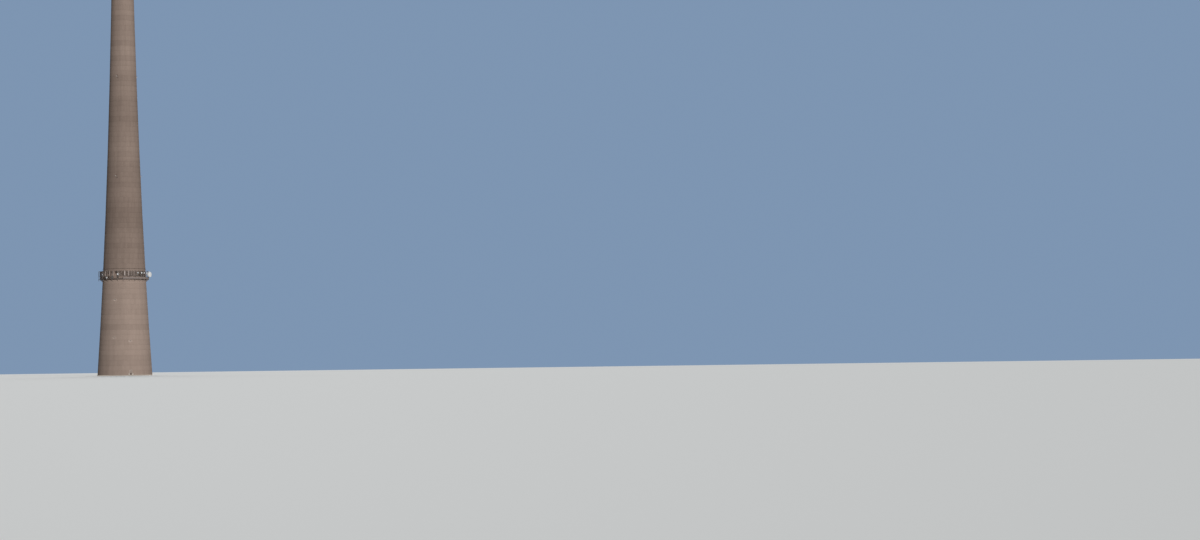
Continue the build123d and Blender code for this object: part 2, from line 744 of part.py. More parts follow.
def build_head_railing(side_azimuths):
    """Posts at the corners of the roof's railing, and two bars on each side."""
    half_side = math.pi / head_sides
    flat = head_radius - head_rail_inset - head_wall_inset
    corner = flat / math.cos(half_side)
    post = block(head_rail_size, head_rail_size, head_rail_height, corner, head_roof_top)
    ends = head_rail_size * (1 + math.sin(half_side)) / math.cos(half_side) + 2 * fit_gap
    length = 2 * corner * math.sin(half_side) - ends
    pieces = []
    for azimuth in side_azimuths:
        pieces.append(turned(post, azimuth + math.degrees(half_side)))
        for top in (head_rail_height / 2, head_rail_height):
            bar = block(length, head_rail_size, head_rail_size, flat, head_roof_top + top - head_rail_size)
            pieces.append(turned(bar, azimuth))
    parts["head_railing"] = Compound(children=pieces)


def build_mast_lattice():
    """The open three-legged lattice stage that carries the mast's cylinders."""
    base = head_roof_top + flange_thickness
    top = head_roof_top + lattice_height - flange_thickness
    bay = (top - base) / lattice_bay_count
    bars = []
    for leg in (0, 120, 240):
        foot = at(leg, lattice_radius, base)
        bars.append(rod_between(foot, at(leg, lattice_radius, top), lattice_leg_radius, lattice_leg_sides))
        for row in range(lattice_bay_count):
            low = base + row * bay
            ends = (low, low + bay) if row % 2 else (low + bay, low)
            start = at(leg, lattice_radius, ends[0])
            end = at(leg + 120, lattice_radius, ends[1])
            bars.append(rod_between(start, end, lattice_brace_radius, lattice_brace_sides))
            if row:
                start = at(leg, lattice_radius, low)
                end = at(leg + 120, lattice_radius, low)
                bars.append(rod_between(start, end, lattice_brace_radius, lattice_brace_sides))
    between_flanges = Pos(0, 0, base) * Box(4 * lattice_radius, 4 * lattice_radius, top - base,
                                            align=(Align.CENTER, Align.CENTER, Align.MIN))
    parts["mast_lattice"] = fused(bars) & between_flanges


def build_mast():
    """Flanges, stepped cylinders, rod and lamp of the mast."""
    lattice_flange = lattice_radius + lattice_leg_radius + flange_overhang
    bottom = head_roof_top + lattice_height
    flanges = [prism(lattice_flange, cylinder_sides, flange_thickness, head_roof_top),
               prism(lattice_flange, cylinder_sides, flange_thickness, bottom - flange_thickness)]
    tubes = []
    for radius, length in ((lower_cylinder_radius, lower_cylinder_length),
                           (middle_cylinder_radius, middle_cylinder_length),
                           (top_cylinder_radius, top_cylinder_length)):
        tube_length = length - flange_thickness
        tube = prism(radius, cylinder_sides, tube_length, bottom)
        tubes.append(tube - prism(radius - cylinder_skin, cylinder_sides, tube_length, bottom))
        bottom += length
        flanges.append(prism(radius + flange_overhang, cylinder_sides, flange_thickness, bottom - flange_thickness))
    parts["mast_cylinders"] = Compound(children=tubes)
    parts["mast_flanges"] = Compound(children=flanges)
    parts["lightning_rod"] = prism(rod_radius, lamp_sides, rod_height, bottom)
    lamp = prism(top_lamp_radius, lamp_sides, top_lamp_height, bottom)
    parts["top_light"] = Pos(top_cylinder_radius - top_lamp_radius, 0, 0) * lamp


build_base()
build_shaft()
build_openings()
build_obstruction_lights()
build_gallery_frame()
build_gallery_cladding()
build_hoop()
build_antennas()
build_radio_units()
build_outrigger()
build_cabinets()
build_head()
build_mast_lattice()
build_mast()

os.makedirs("parts", exist_ok=True)
for node, shape in parts.items():
    export_step(shape, "parts/" + node + ".step")
    print(node)
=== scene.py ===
"""The looks of a tapered concrete radio tower with a ring gallery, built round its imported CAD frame."""
import functools
import math

import bpy
from mathutils import Matrix, Vector


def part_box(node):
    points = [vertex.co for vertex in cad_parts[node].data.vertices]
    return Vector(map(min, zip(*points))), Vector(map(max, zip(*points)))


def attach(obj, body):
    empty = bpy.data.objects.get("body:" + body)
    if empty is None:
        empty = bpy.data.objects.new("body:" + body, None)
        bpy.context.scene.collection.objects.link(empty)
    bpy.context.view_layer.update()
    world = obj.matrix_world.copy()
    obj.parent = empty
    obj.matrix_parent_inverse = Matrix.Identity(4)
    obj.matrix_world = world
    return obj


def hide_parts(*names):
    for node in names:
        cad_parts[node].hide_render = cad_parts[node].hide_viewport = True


bl_info = {
    "name": "Concrete radio tower",
    "version": (1, 0, 0),
    "blender": (4, 5, 0),
    "location": "View3D > Sidebar > Tower",
    "description": "Concrete, steelwork, antennas and lamps of a one-tenth scale radio tower",
    "category": "Add Mesh",
}

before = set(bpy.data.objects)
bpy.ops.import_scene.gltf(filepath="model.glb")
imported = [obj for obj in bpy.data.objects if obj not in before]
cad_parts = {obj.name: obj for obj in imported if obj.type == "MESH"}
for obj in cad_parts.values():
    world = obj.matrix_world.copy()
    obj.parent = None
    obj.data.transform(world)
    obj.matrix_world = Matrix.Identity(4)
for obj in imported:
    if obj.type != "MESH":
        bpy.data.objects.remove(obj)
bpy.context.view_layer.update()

# Places repeated from the CAD source, in metres and degrees; the front is -Y and azimuths grow towards +X
FIT_GAP = 0.0003
FORM_PANELS = 48
STAGE_COUNT = 5
BAY_COUNT = 24
BAY_ANGLE = 360 / BAY_COUNT
HALF_BAY = math.radians(BAY_ANGLE / 2)
POSTS = [post * BAY_ANGLE for post in range(BAY_COUNT)]
GALLERY_LEVEL = 4.360
GALLERY_RADIUS = 1.085
BRACKET_TOP = 4.356
BRACKET_DEPTH = 0.130
BRACKET_END_DEPTH = 0.028
POST_SIZE = 0.010
POST_HEIGHT = 0.350
TOP_RAIL = 0.112
BAND_RAIL = 0.340
FASCIA_TOP = 0.066
FASCIA_DROP = 0.022
FASCIA_THICKNESS = 0.003
OPEN_BAYS = range(17, 24)
# Openings through the wall: stage, azimuth, width, height and sill
DOORS = {
    "entrance_door": ("shaft_stage_1", 15.0, 0.120, 0.230, 0.030),
    "gallery_door": ("shaft_stage_2", 180.0, 0.090, 0.205, GALLERY_LEVEL),
}
WINDOWS = [("shaft_stage_1", azimuth, 0.080, 0.090, sill) for azimuth, sill in (
    (-22.5, 1.655), (-22.5, 3.350), (15.0, 1.500), (157.5, 1.655), (157.5, 3.350))]
DOOR_REVEAL = 0.006
WINDOW_REVEAL = 0.008
POLE_RADIUS = 0.004
POLE_STANDOFF = 0.012
BAND_RAIL_HALF = 0.004
WIDE_PANELS = (3.5, -46.5, 128.0, 166.0, 219.0)
NARROW_PANELS = (11.5, 15.0, 19.5, 23.0, 26.5, 30.0, -34.5, -24.5, 136.0, 250.0)
WIDE_PANEL = 0.036
NARROW_PANEL = 0.024
PANEL_DEPTH = 0.010
PANEL_HEIGHT = 0.200
PANEL_BOTTOM = 0.128
SMALL_DRUM = 0.027
STANDARD_DRUM = 0.036
MEDIUM_DRUM = 0.055
LARGE_DRUM = 0.120
LOW_DRUM = 0.038
MIDDLE_DRUM = 0.185
HIGH_DRUM = 0.245
LARGE_DRUM_AZIMUTH = 76.0
LARGE_DRUM_TURN = -18.0
# Drums: azimuth, height over the gallery and radius
DRUMS = (
    (-41.5, LOW_DRUM, STANDARD_DRUM), (-12.5, MIDDLE_DRUM, STANDARD_DRUM), (-57.0, MIDDLE_DRUM, SMALL_DRUM),
    (35.0, HIGH_DRUM, SMALL_DRUM), (45.0, HIGH_DRUM, STANDARD_DRUM), (54.5, HIGH_DRUM, SMALL_DRUM),
    (65.0, HIGH_DRUM, SMALL_DRUM), (118.0, HIGH_DRUM, MEDIUM_DRUM), (150.0, MIDDLE_DRUM, SMALL_DRUM),
    (205.0, MIDDLE_DRUM, MEDIUM_DRUM), (240.0, HIGH_DRUM, SMALL_DRUM),
)
UNIT_WIDTH = 0.056
UNIT_DEPTH = 0.030
UNIT_SET_BACK = 0.003
# Radio units: the height of the foot over the gallery and of the unit, and their azimuths
RADIO_UNITS = {
    (0.2457, 0.090): (-63.5, -49.5, -37.5, -26.5, -17.5),
    (0.1857, 0.150): (50.5,),
    (0.0452, 0.064): (-63.0, -48.5, -37.5, -12.5),
    (0.1148, 0.064): (41.0,),
}
OUTRIGGER_AZIMUTHS = (-90.0, -75.0)
OUTRIGGER_REACH = 1.147
OUTRIGGER_DROP = 0.090
CABINETS = (-30.0, 60.0, 112.5, 240.0)
CABINET_DEPTH = 0.036
CABINET_MIDDLE = 0.065
LIGHT_AZIMUTHS = (-22.5, 97.5, 217.5)
LIGHT_LEVELS = (9.030, 13.550, 18.070, 22.590)
LAMP_RADIUS = 0.008
LAMP_HEIGHT = 0.022
LAMP_INSET = 0.038
LIGHT_BRACKET_HEIGHT = 0.034
HEAD_SIDES = 12
CORBEL_WALL = 0.034
HEAD_WINDOW_WIDTH = 0.120
HEAD_WINDOW_HEIGHT = 0.090
HEAD_WINDOW_SILL = 0.110
LATTICE_RADIUS = 0.105
LATTICE_LEG_RADIUS = 0.011
LATTICE_LEGS = (0, 120, 240)
LATTICE_BAYS = 5
CYLINDERS = ((0.082, 1.570), (0.058, 1.230), (0.032, 0.617))
CYLINDER_SKIN = 0.005
FLANGE_THICKNESS = 0.010
FLANGE_OVERHANG = 0.010

# Sizes of details that only the scene has, in metres and degrees
LIFT_HEIGHT = 0.229
GRATING_RADIUS = 1.070
WEATHERED_PANELS = (15.0, 19.5, 23.0, 26.5, 30.0, 136.0, 166.0)
MESH_BAYS = (0, 1, 2, 3, 23)
TALL_MESH_BAYS = (16, 17, 18, 19)
MESH_PITCH = 0.006
KERB_WIDTH = 0.044
KERB_DEPTH = 0.012
KERB_HEIGHT = 0.078
SURROUND_SIDE = 0.058
SURROUND_UNDER = 0.010
TRAY_RADIUS = 1.052
TRAY_HEIGHT = 0.0085
FEEDER = 0.0013
FIN_DEPTH = 0.008
FIN_COUNT = 10
LADDER_HALF_WIDTH = 0.020
RUNG_PITCH = 0.030
MAST_FEEDERS = (0.034, 0.042, 0.050)
# A drum's cover and its bowl with the shroud: shares of its radius, outwards and along its axis
DRUM_COVER = ((0, 0.79), (0.985, 0.79), (0.985, 0.85), (0.93, 0.878), (0.75, 0.9044), (0.5, 0.9204),
              (0.25, 0.9276), (0, 0.93))
DRUM_BOWL = ((0, 0), (0.28, 0), (0.3, 0.02), (0.55, 0.1225), (0.8, 0.252), (0.97, 0.35), (1, 0.37), (1, 0.42),
             (0.975, 0.44), (0.975, 0.73), (1, 0.75), (1, 0.785), (0, 0.785))
# Bands of darker or paler pours: level of the middle, half the height, and how much darker
STAINED_POURS = (
    (0.23, 0.23, 0.16), (0.80, 0.35, 0.10), (2.18, 0.115, 0.22), (2.86, 0.115, 0.18), (7.20, 0.70, 0.14),
    (9.10, 0.45, 0.10), (11.9, 0.60, 0.12), (10.1, 0.40, -0.14), (14.2, 0.60, -0.08), (16.7, 0.35, -0.08),
)


class TowerSizes(bpy.types.PropertyGroup):
    """Sizes of the tower's surface detail"""

    lift_height: bpy.props.FloatProperty(
        name="Lift height", description="Height of one pour of concrete", default=LIFT_HEIGHT, min=0.05,
        unit="LENGTH")
    joint_width: bpy.props.FloatProperty(
        name="Joint width", description="Height of the groove between two pours", default=0.006, min=0.001,
        unit="LENGTH")
    joint_depth: bpy.props.FloatProperty(
        name="Joint depth", description="Depth of the groove between two pours", default=0.0025, min=0.0,
        unit="LENGTH")
    shaft_sides: bpy.props.IntProperty(
        name="Shaft sides", description="Faces round the shaft", default=144, min=24)
    grating_pitch: bpy.props.FloatProperty(
        name="Grating pitch", description="Distance between the bars of the walkway's grating",
        default=0.0042, min=0.002, unit="LENGTH")
    bolt_radius: bpy.props.FloatProperty(
        name="Bolt radius", description="Radius of the bolt heads on the steelwork", default=0.0018,
        min=0.0005, unit="LENGTH")


class TowerColours(bpy.types.PropertyGroup):
    """Colours of the tower's surfaces"""

    concrete: bpy.props.FloatVectorProperty(
        name="Concrete", description="Clean weathered concrete", subtype="COLOR",
        default=(0.390, 0.295, 0.243))
    # Also the colour of the painted shade on the wall behind the gallery
    concrete_dark: bpy.props.FloatVectorProperty(
        name="Stained concrete", description="Damp and stained concrete", subtype="COLOR",
        default=(0.215, 0.158, 0.128))
    galvanised: bpy.props.FloatVectorProperty(
        name="Galvanised steel", description="Weathered zinc on the steelwork", subtype="COLOR",
        default=(0.400, 0.370, 0.345))
    dark_steel: bpy.props.FloatVectorProperty(
        name="Dark steel", description="Painted beams, posts and rails", subtype="COLOR",
        default=(0.070, 0.058, 0.052))
    light_panel: bpy.props.FloatVectorProperty(
        name="Light panels", description="Fascia plates", subtype="COLOR", default=(0.270, 0.215, 0.190))
    radome_white: bpy.props.FloatVectorProperty(
        name="White radome", description="Covers of the drum antennas", subtype="COLOR",
        default=(0.900, 0.900, 0.890))
    radome_grey: bpy.props.FloatVectorProperty(
        name="Grey radome", description="Covers of the panel antennas", subtype="COLOR",
        default=(0.540, 0.440, 0.390))
    lamp_red: bpy.props.FloatVectorProperty(
        name="Lamp red", description="Lenses of the obstruction lights", subtype="COLOR",
        default=(0.420, 0.030, 0.022))


class TowerView(bpy.types.PropertyGroup):
    """The camera and the stage"""

    camera_distance: bpy.props.FloatProperty(
        name="Camera distance", description="From the camera to the shaft's axis", default=120.0,
        unit="LENGTH")
    camera_height: bpy.props.FloatProperty(
        name="Camera height", description="Of the camera above the floor", default=0.16, unit="LENGTH")
    camera_azimuth: bpy.props.FloatProperty(
        name="Camera azimuth", description="Degrees round the tower from its front, towards its right",
        default=2.5)
    lens: bpy.props.FloatProperty(name="Lens", description="Focal length in millimetres", default=78.5)
    pan: bpy.props.FloatProperty(
        name="Pan", description="Degrees that the camera looks to the right of the tower", default=10.31)
    tilt: bpy.props.FloatProperty(name="Tilt", description="Degrees that the camera looks up", default=2.10)
    roll: bpy.props.FloatProperty(
        name="Roll", description="Degrees that the picture leans to the left", default=0.75)
    backdrop: bpy.props.FloatVectorProperty(
        name="Backdrop", description="Even colour behind the tower", subtype="COLOR",
        default=(0.208, 0.302, 0.445))


class Shape:
    """Points and faces of one piece, gathered from simple solids."""

    def __init__(self):
        self.points = []
        self.faces = []

    def add(self, points, faces, place=None):
        """Add a solid's points and faces, moved by a matrix if one is given."""
        start = len(self.points)
        self.points += [place @ Vector(point) if place else Vector(point) for point in points]
        self.faces += [[start + index for index in face] for face in faces]

    def prism(self, outline, low, high, place=None):
        """An outline in the XY plane, anticlockwise, drawn up from one height to another."""
        count = len(outline)
        points = [(x, y, low) for x, y in outline] + [(x, y, high) for x, y in outline]
        edges = [(side, (side + 1) % count) for side in range(count)]
        faces = [[side, after, after + count, side + count] for side, after in edges]
        faces.append(list(reversed(range(count))))
        faces.append(list(range(count, 2 * count)))
        self.add(points, faces, place)

    def block(self, width, depth, height, place=None):
        """A block about the origin."""
        x, y = width / 2, depth / 2
        self.prism([(-x, -y), (x, -y), (x, y), (-x, y)], -height / 2, height / 2, place)

    def disc(self, radius, low, high, sides, place=None):
        """A short cylinder about the Z axis."""
        turns = [2 * math.pi * side / sides for side in range(sides)]
        self.prism([(radius * math.cos(turn), radius * math.sin(turn)) for turn in turns], low, high, place)

    def lathe(self, profile, sides, place=None):
        """A profile of (radius, height) points turned about Z. It closes on the axis or back on itself."""
        turns = [2 * math.pi * side / sides for side in range(sides)]
        points = []
        rows = []
        for radius, height in profile:
            ring = turns if radius else turns[:1]
            rows.append([len(points) + side % len(ring) for side in range(sides + 1)])
            points += [(radius * math.sin(turn), -radius * math.cos(turn), height) for turn in ring]
        on_axis = profile[0][0] == 0 and profile[-1][0] == 0
        faces = []
        for low, high in zip(rows, rows[1:] if on_axis else rows[1:] + rows[:1]):
            for side in range(sides):
                face = list(dict.fromkeys((low[side], low[side + 1], high[side + 1], high[side])))
                if len(face) > 2:
                    faces.append(face)
        self.add(points, faces, place)

    def tubes(self, points, radius, sides=8, place=None):
        """Round bars from each point to the next."""
        points = [place @ Vector(point) if place else Vector(point) for point in points]
        for start, end in zip(points, points[1:]):
            along = end - start
            lie = Matrix.Translation(start) @ along.to_track_quat("Z", "Y").to_matrix().to_4x4()
            self.disc(radius, 0, along.length, sides, lie)

    def linked(self, name):
        """A new object in the scene with these points and faces."""
        mesh = bpy.data.meshes.new(name)
        mesh.from_pydata([tuple(point) for point in self.points], [], self.faces)
        mesh.validate()
        piece = bpy.data.objects.new(name, mesh)
        bpy.context.scene.collection.objects.link(piece)
        return piece

    def made(self, name, finish_name, smooth_angle=None, *replaces):
        """The finished piece, which rides with the tower."""
        piece = self.linked(name)
        coat(piece, finish_name, smooth_angle)
        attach(piece, "root")
        if replaces:
            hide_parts(*replaces)
        return piece


def coat(piece, finish_name, smooth_angle=None):
    """Give a piece a finish, and smooth its shading over edges below an angle."""
    piece.data.materials.clear()
    piece.data.materials.append(finish(finish_name))
    if smooth_angle:
        piece.data.shade_smooth()
        piece.data.set_sharp_from_angle(angle=math.radians(smooth_angle))


def paint_nodes(finish_name, *nodes, smooth_angle=None):
    """Give CAD nodes that keep their shape a finish."""
    for node in nodes:
        coat(cad(node), finish_name, smooth_angle)


def at(azimuth, distance, height):
    """The point at an azimuth, a distance from the axis and a height."""
    turn = math.radians(azimuth)
    return Vector((distance * math.sin(turn), -distance * math.cos(turn), height))


def span(azimuths, distance, low, high=None):
    """Two points at two azimuths and one distance, at one height or from a low one to a high one."""
    return [at(azimuths[0], distance, low), at(azimuths[1], distance, low if high is None else high)]


def moved(place, x=0.0, y=0.0, z=0.0):
    """A place moved along its own axes."""
    return place @ Matrix.Translation((x, y, z))


def leaning(place, degrees):
    """A place turned about its own X."""
    return place @ Matrix.Rotation(math.radians(degrees), 4, "X")


def facing(azimuth, distance, height, aside=0.0):
    """The place at an azimuth whose own -Y looks straight out from the tower."""
    return moved(Matrix.Rotation(math.radians(azimuth), 4, "Z"), aside, -distance, height)


def outward(azimuth, distance, height, aside=0.0):
    """The place at an azimuth whose own Z looks straight out from the tower."""
    return leaning(facing(azimuth, distance, height, aside), 90)


def on_ring(azimuth, distance, height, aside=0.0):
    """A place that faces outwards at a height over the gallery."""
    return facing(azimuth, distance, GALLERY_LEVEL + height, aside)


def chamfered(width, depth, cut):
    """The outline of a rectangle with its corners cut off."""
    x, y = width / 2, depth / 2
    return [(cut - x, -y), (x - cut, -y), (x, cut - y), (x, y - cut), (x - cut, y), (cut - x, y),
            (-x, y - cut), (-x, cut - y)]


def cad(node):
    """A node of the CAD frame."""
    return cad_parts[node]


def leaf_face(leaf, azimuth):
    """Distance from the axis of a door leaf's outer face, read from the frame."""
    way = at(azimuth, 1, 0)
    return max(vertex.co.dot(way) for vertex in cad(leaf).data.vertices)


def cad_rings(node):
    """Height, outer and inner radius of a shaft stage's levels, read from the frame."""
    low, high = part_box(node)
    rings = []
    for level in (low.z, (low.z + high.z) / 2, high.z):
        points = [v.co for v in cad(node).data.vertices if abs(v.co.z - level) < 0.0005]
        outer = max(-point.y for point in points)
        inner = min(math.hypot(point.x, point.y) for point in points)
        rings.append((level, outer, inner))
    return rings


@functools.lru_cache
def shaft_rings():
    """The shaft's rings from its foot to its top, in stages."""
    stages = [cad_rings("shaft_stage_%d" % (index + 1)) for index in range(STAGE_COUNT)]
    for stage, after in zip(stages, stages[1:]):
        stage[-1] = after[0]
    return stages


def wall_radius(level):
    """Outer radius of the shaft at a level."""
    rings = [ring for stage in shaft_rings() for ring in stage]
    for (low, foot, _), (high, top, _) in zip(rings, rings[1:]):
        if low <= level <= high:
            return foot + (top - foot) * (level - low) / max(high - low, 1e-9)
    return rings[0][1] if level < rings[0][0] else rings[-1][1]


def pole_distance(azimuth):
    """Distance from the axis of an antenna pole at an azimuth."""
    from_middle = math.radians(azimuth % BAY_ANGLE - BAY_ANGLE / 2)
    rail = (GALLERY_RADIUS * math.cos(HALF_BAY) + BAND_RAIL_HALF) / math.cos(from_middle)
    return rail + POLE_STANDOFF + POLE_RADIUS


class Nodes:
    """A shader tree, with short ways of adding to it."""

    def __init__(self, tree):
        self.tree = tree

    @functools.cached_property
    def place(self):
        """The surface's place in the tower's own frame."""
        return self.add("TexCoord").outputs["Object"]

    def add(self, kind, inputs=None, **settings):
        """A node with its settings, and its inputs joined or set."""
        made = self.tree.nodes.new("ShaderNode" + kind)
        for name, value in settings.items():
            setattr(made, name, value)
        for key, value in (inputs or {}).items():
            if isinstance(value, bpy.types.NodeSocket):
                self.tree.links.new(value, made.inputs[key])
            else:
                made.inputs[key].default_value = value
        return made

    def use(self, group, **values):
        """The outputs of a node group that is placed here with its own values."""
        return self.add("Group", {name.replace("_", " "): value for name, value in values.items()},
                        node_tree=group()).outputs

    def sum(self, operation, *values, clamp=False):
        """The result of a sum on one to three values."""
        return self.add("Math", dict(enumerate(values)), operation=operation, use_clamp=clamp).outputs[0]

    def ranged(self, value, low, high, to_low=0.0, to_high=1.0):
        """A value spread from one range to another."""
        inputs = {"Value": value, "From Min": low, "From Max": high, "To Min": to_low, "To Max": to_high}
        return self.add("MapRange", inputs, clamp=True).outputs["Result"]

    def mixed(self, factor, first, second, blend_type="MIX"):
        """Two colours mixed."""
        inputs = {0: factor, 6: first, 7: second}
        return self.add("Mix", inputs, data_type="RGBA", blend_type=blend_type).outputs[2]

    def noise(self, scale, detail, roughness=0.5, place=None):
        """Cloudy noise at a scale."""
        inputs = {"Vector": place or self.place, "Scale": scale, "Detail": detail, "Roughness": roughness}
        return self.add("TexNoise", inputs).outputs["Fac"]

    def off_middle(self, value):
        """How far a value's fraction is from a half."""
        return self.sum("ABSOLUTE", self.sum("SUBTRACT", self.sum("FRACT", value), 0.5))

    def length(self, x, y):
        """The length of a line that reaches x one way and y across it."""
        return self.sum("SQRT", self.sum("MULTIPLY_ADD", x, x, self.sum("MULTIPLY", y, y)))


def new_group(name, inputs, outputs, results):
    """A new node group with float inputs of given defaults. A function works out its results."""
    tree = bpy.data.node_groups.new(name, "ShaderNodeTree")
    for label, value in inputs.items():
        socket = tree.interface.new_socket(name=label, in_out="INPUT", socket_type="NodeSocketFloat")
        socket.default_value = value
    for label in outputs:
        tree.interface.new_socket(name=label, in_out="OUTPUT", socket_type="NodeSocketFloat")
    given = tree.nodes.new("NodeGroupInput").outputs
    end = tree.nodes.new("NodeGroupOutput")
    for label, value in zip(outputs, results(Nodes(tree), given)):
        tree.links.new(value, end.inputs[label])
    return tree


def node_group(name, inputs, outputs):
    """Make a function of results into one that gives their node group, built when it is first asked for."""
    def named(results):
        return lambda: bpy.data.node_groups.get(name) or new_group(name, inputs, outputs, results)
    return named


@node_group("Grain", {"Fine scale": 60.0, "Broad scale": 3.0}, ("Fine", "Broad"))
def grain(nodes, given):
    """Fine grain and broad blotches, for colour and for bump."""
    return nodes.noise(given["Fine scale"], 4.0, 0.62), nodes.noise(given["Broad scale"], 5.0, 0.62)


@node_group("Rain streaks", {"Across": 8.0, "Low": 0.45, "High": 0.72}, ("Mask",))
def rain_streaks(nodes, given):
    """Long upright streaks left by rain."""
    stretched = nodes.add("Mapping", {"Vector": nodes.place, "Scale": (1.0, 1.0, 0.045)}).outputs["Vector"]
    return [nodes.ranged(nodes.noise(given["Across"], 4.0, 0.6, stretched), given["Low"], given["High"])]


@node_group("Pour bands", {"Lift height": LIFT_HEIGHT, "Line width": 0.03}, ("Tone", "Line"))
def pour_bands(nodes, given):
    """A tone for each pour, and thin lines at the joints between pours."""
    height = nodes.add("SeparateXYZ", {0: nodes.place}).outputs["Z"]
    lifts = nodes.sum("DIVIDE", height, given["Lift height"])
    tone = nodes.add("TexWhiteNoise", {"W": nodes.sum("FLOOR", lifts)}, noise_dimensions="1D")
    edge = nodes.sum("SUBTRACT", 0.5, given["Line width"])
    return tone.outputs["Value"], nodes.ranged(nodes.off_middle(lifts), edge, 0.5)


@node_group("Form marks", {"Boards round": 96.0, "Holes round": 24.0, "Lift height": LIFT_HEIGHT,
                           "Hole radius": 0.004}, ("Tone", "Line", "Hole"))
def form_marks(nodes, given):
    """Marks left by the forms: a tone for each board, thin upright lines between boards, and tie holes."""
    x, y, z = nodes.add("SeparateXYZ", {0: nodes.place}).outputs
    turn = nodes.sum("MULTIPLY_ADD", nodes.sum("ARCTAN2", x, y), 0.5 / math.pi, 0.5)
    boards = nodes.sum("MULTIPLY", turn, given["Boards round"])
    lifts = nodes.sum("DIVIDE", z, given["Lift height"])
    cell = nodes.add("CombineXYZ", {0: nodes.sum("FLOOR", boards), 1: nodes.sum("FLOOR", lifts)}).outputs[0]
    tone = nodes.add("TexWhiteNoise", {"Vector": cell}, noise_dimensions="2D").outputs["Value"]
    line = nodes.ranged(nodes.off_middle(boards), 0.47, 0.5)
    girth = nodes.sum("MULTIPLY", nodes.length(x, y), 2 * math.pi)
    columns = nodes.off_middle(nodes.sum("MULTIPLY", turn, given["Holes round"]))
    across = nodes.sum("MULTIPLY", columns, nodes.sum("DIVIDE", girth, given["Holes round"]))
    rows = nodes.off_middle(nodes.sum("MULTIPLY", lifts, 2.0))
    up = nodes.sum("MULTIPLY", rows, nodes.sum("MULTIPLY", given["Lift height"], 0.5))
    wide = nodes.sum("MULTIPLY", given["Hole radius"], 1.2)
    return tone, line, nodes.ranged(nodes.length(across, up), given["Hole radius"], wide, 1.0, 0.0)


@node_group("Settled dust", {"Amount": 0.5, "Scale": 14.0}, ("Mask",))
def settled_dust(nodes, given):
    """Dust and dirt that settle on faces that look up."""
    normal = nodes.add("NewGeometry").outputs["Normal"]
    level = nodes.ranged(nodes.add("SeparateXYZ", {0: normal}).outputs["Z"], 0.1, 0.9)
    patch = nodes.ranged(nodes.noise(given["Scale"], 3.0), 0.3, 0.7)
    return [nodes.sum("MULTIPLY", nodes.sum("MULTIPLY", level, patch), given["Amount"])]


def new_material(name, **constants):
    """A new material's nodes and shader, with the shader's plain values set."""
    material = bpy.data.materials.new(name)
    material.use_nodes = True
    shader = material.node_tree.nodes["Principled BSDF"]
    for label, value in constants.items():
        shader.inputs[label.replace("_", " ")].default_value = value
    return Nodes(material.node_tree), shader


def cover(nodes, shader, colour, fine, rough, relief=None, edge=0.2):
    """Join a shader's colour, its roughness, which follows the fine grain, and its relief."""
    nodes.tree.links.new(colour, shader.inputs["Base Color"])
    nodes.tree.links.new(nodes.ranged(fine, edge, 1 - edge, *rough), shader.inputs["Roughness"])
    if relief:
        height, distance, strength = relief
        bump = nodes.add("Bump", {"Height": height, "Distance": distance, "Strength": strength})
        nodes.tree.links.new(bump.outputs["Normal"], shader.inputs["Normal"])


def shade(colour, share=1.0):
    """A colour brought down to a share of itself, with full alpha. A name is one of the user's colours."""
    if isinstance(colour, str):
        colour = getattr(bpy.context.scene.tower_colours, colour)
    return (*[channel * share for channel in colour], 1.0)


def concrete_material(name):
    """Board-marked concrete in pours of different tones, streaked by rain, with painted shade behind the
    gallery and a darker tone above it.
    """
    lift = bpy.context.scene.tower_sizes.lift_height
    nodes, shader = new_material(name, Specular_IOR_Level=0.2)
    grains = nodes.use(grain, Fine_scale=55.0, Broad_scale=0.9)
    bands = nodes.use(pour_bands, Lift_height=lift, Line_width=0.035)
    streaks = nodes.use(rain_streaks, Across=7.0, Low=0.48, High=0.78)
    forms = nodes.use(form_marks, Lift_height=lift)
    height = nodes.add("SeparateXYZ", {0: nodes.place}).outputs["Z"]

    # Painted shade on the wall behind the gallery, rising through the gallery's height, that goes on as a
    # darker tone up the shaft
    ring_shade_and_upper_tone = nodes.ranged(height, 4.30, 4.75, 0.0, 0.62)
    washed_top = nodes.ranged(height, 9.0, 17.0, 0.0, 0.24)
    tone = nodes.sum("SUBTRACT", ring_shade_and_upper_tone, washed_top)
    for level, half, amount in STAINED_POURS:
        far = nodes.sum("ABSOLUTE", nodes.sum("SUBTRACT", height, level))
        tone = nodes.sum("ADD", tone, nodes.ranged(far, half * 0.8, half * 1.2, amount, 0.0))
    marks = ((bands["Tone"], 0.18), (grains["Broad"], 0.45), (streaks["Mask"], 0.22), (bands["Line"], 0.14),
             (forms["Tone"], 0.12), (forms["Line"], 0.16), (forms["Hole"], 0.80))
    for mask, amount in marks:
        tone = nodes.sum("MULTIPLY_ADD", mask, amount, tone)
    tone = nodes.sum("SUBTRACT", tone, 0.30, clamp=True)
    colour = nodes.mixed(tone, shade("concrete"), shade("concrete_dark"))
    speckle = nodes.ranged(grains["Fine"], 0.30, 0.70, 0.90, 1.08)
    tint = nodes.add("CombineColor", {0: speckle, 1: speckle, 2: speckle}).outputs[0]
    colour = nodes.mixed(1.0, colour, tint, "MULTIPLY")
    relief = grains["Fine"]
    for mask, depth in ((bands["Line"], -0.6), (forms["Line"], -0.3), (forms["Hole"], -1.2)):
        relief = nodes.sum("MULTIPLY_ADD", mask, depth, relief)
    cover(nodes, shader, colour, grains["Fine"], (0.82, 0.98), (relief, 0.002, 0.6))


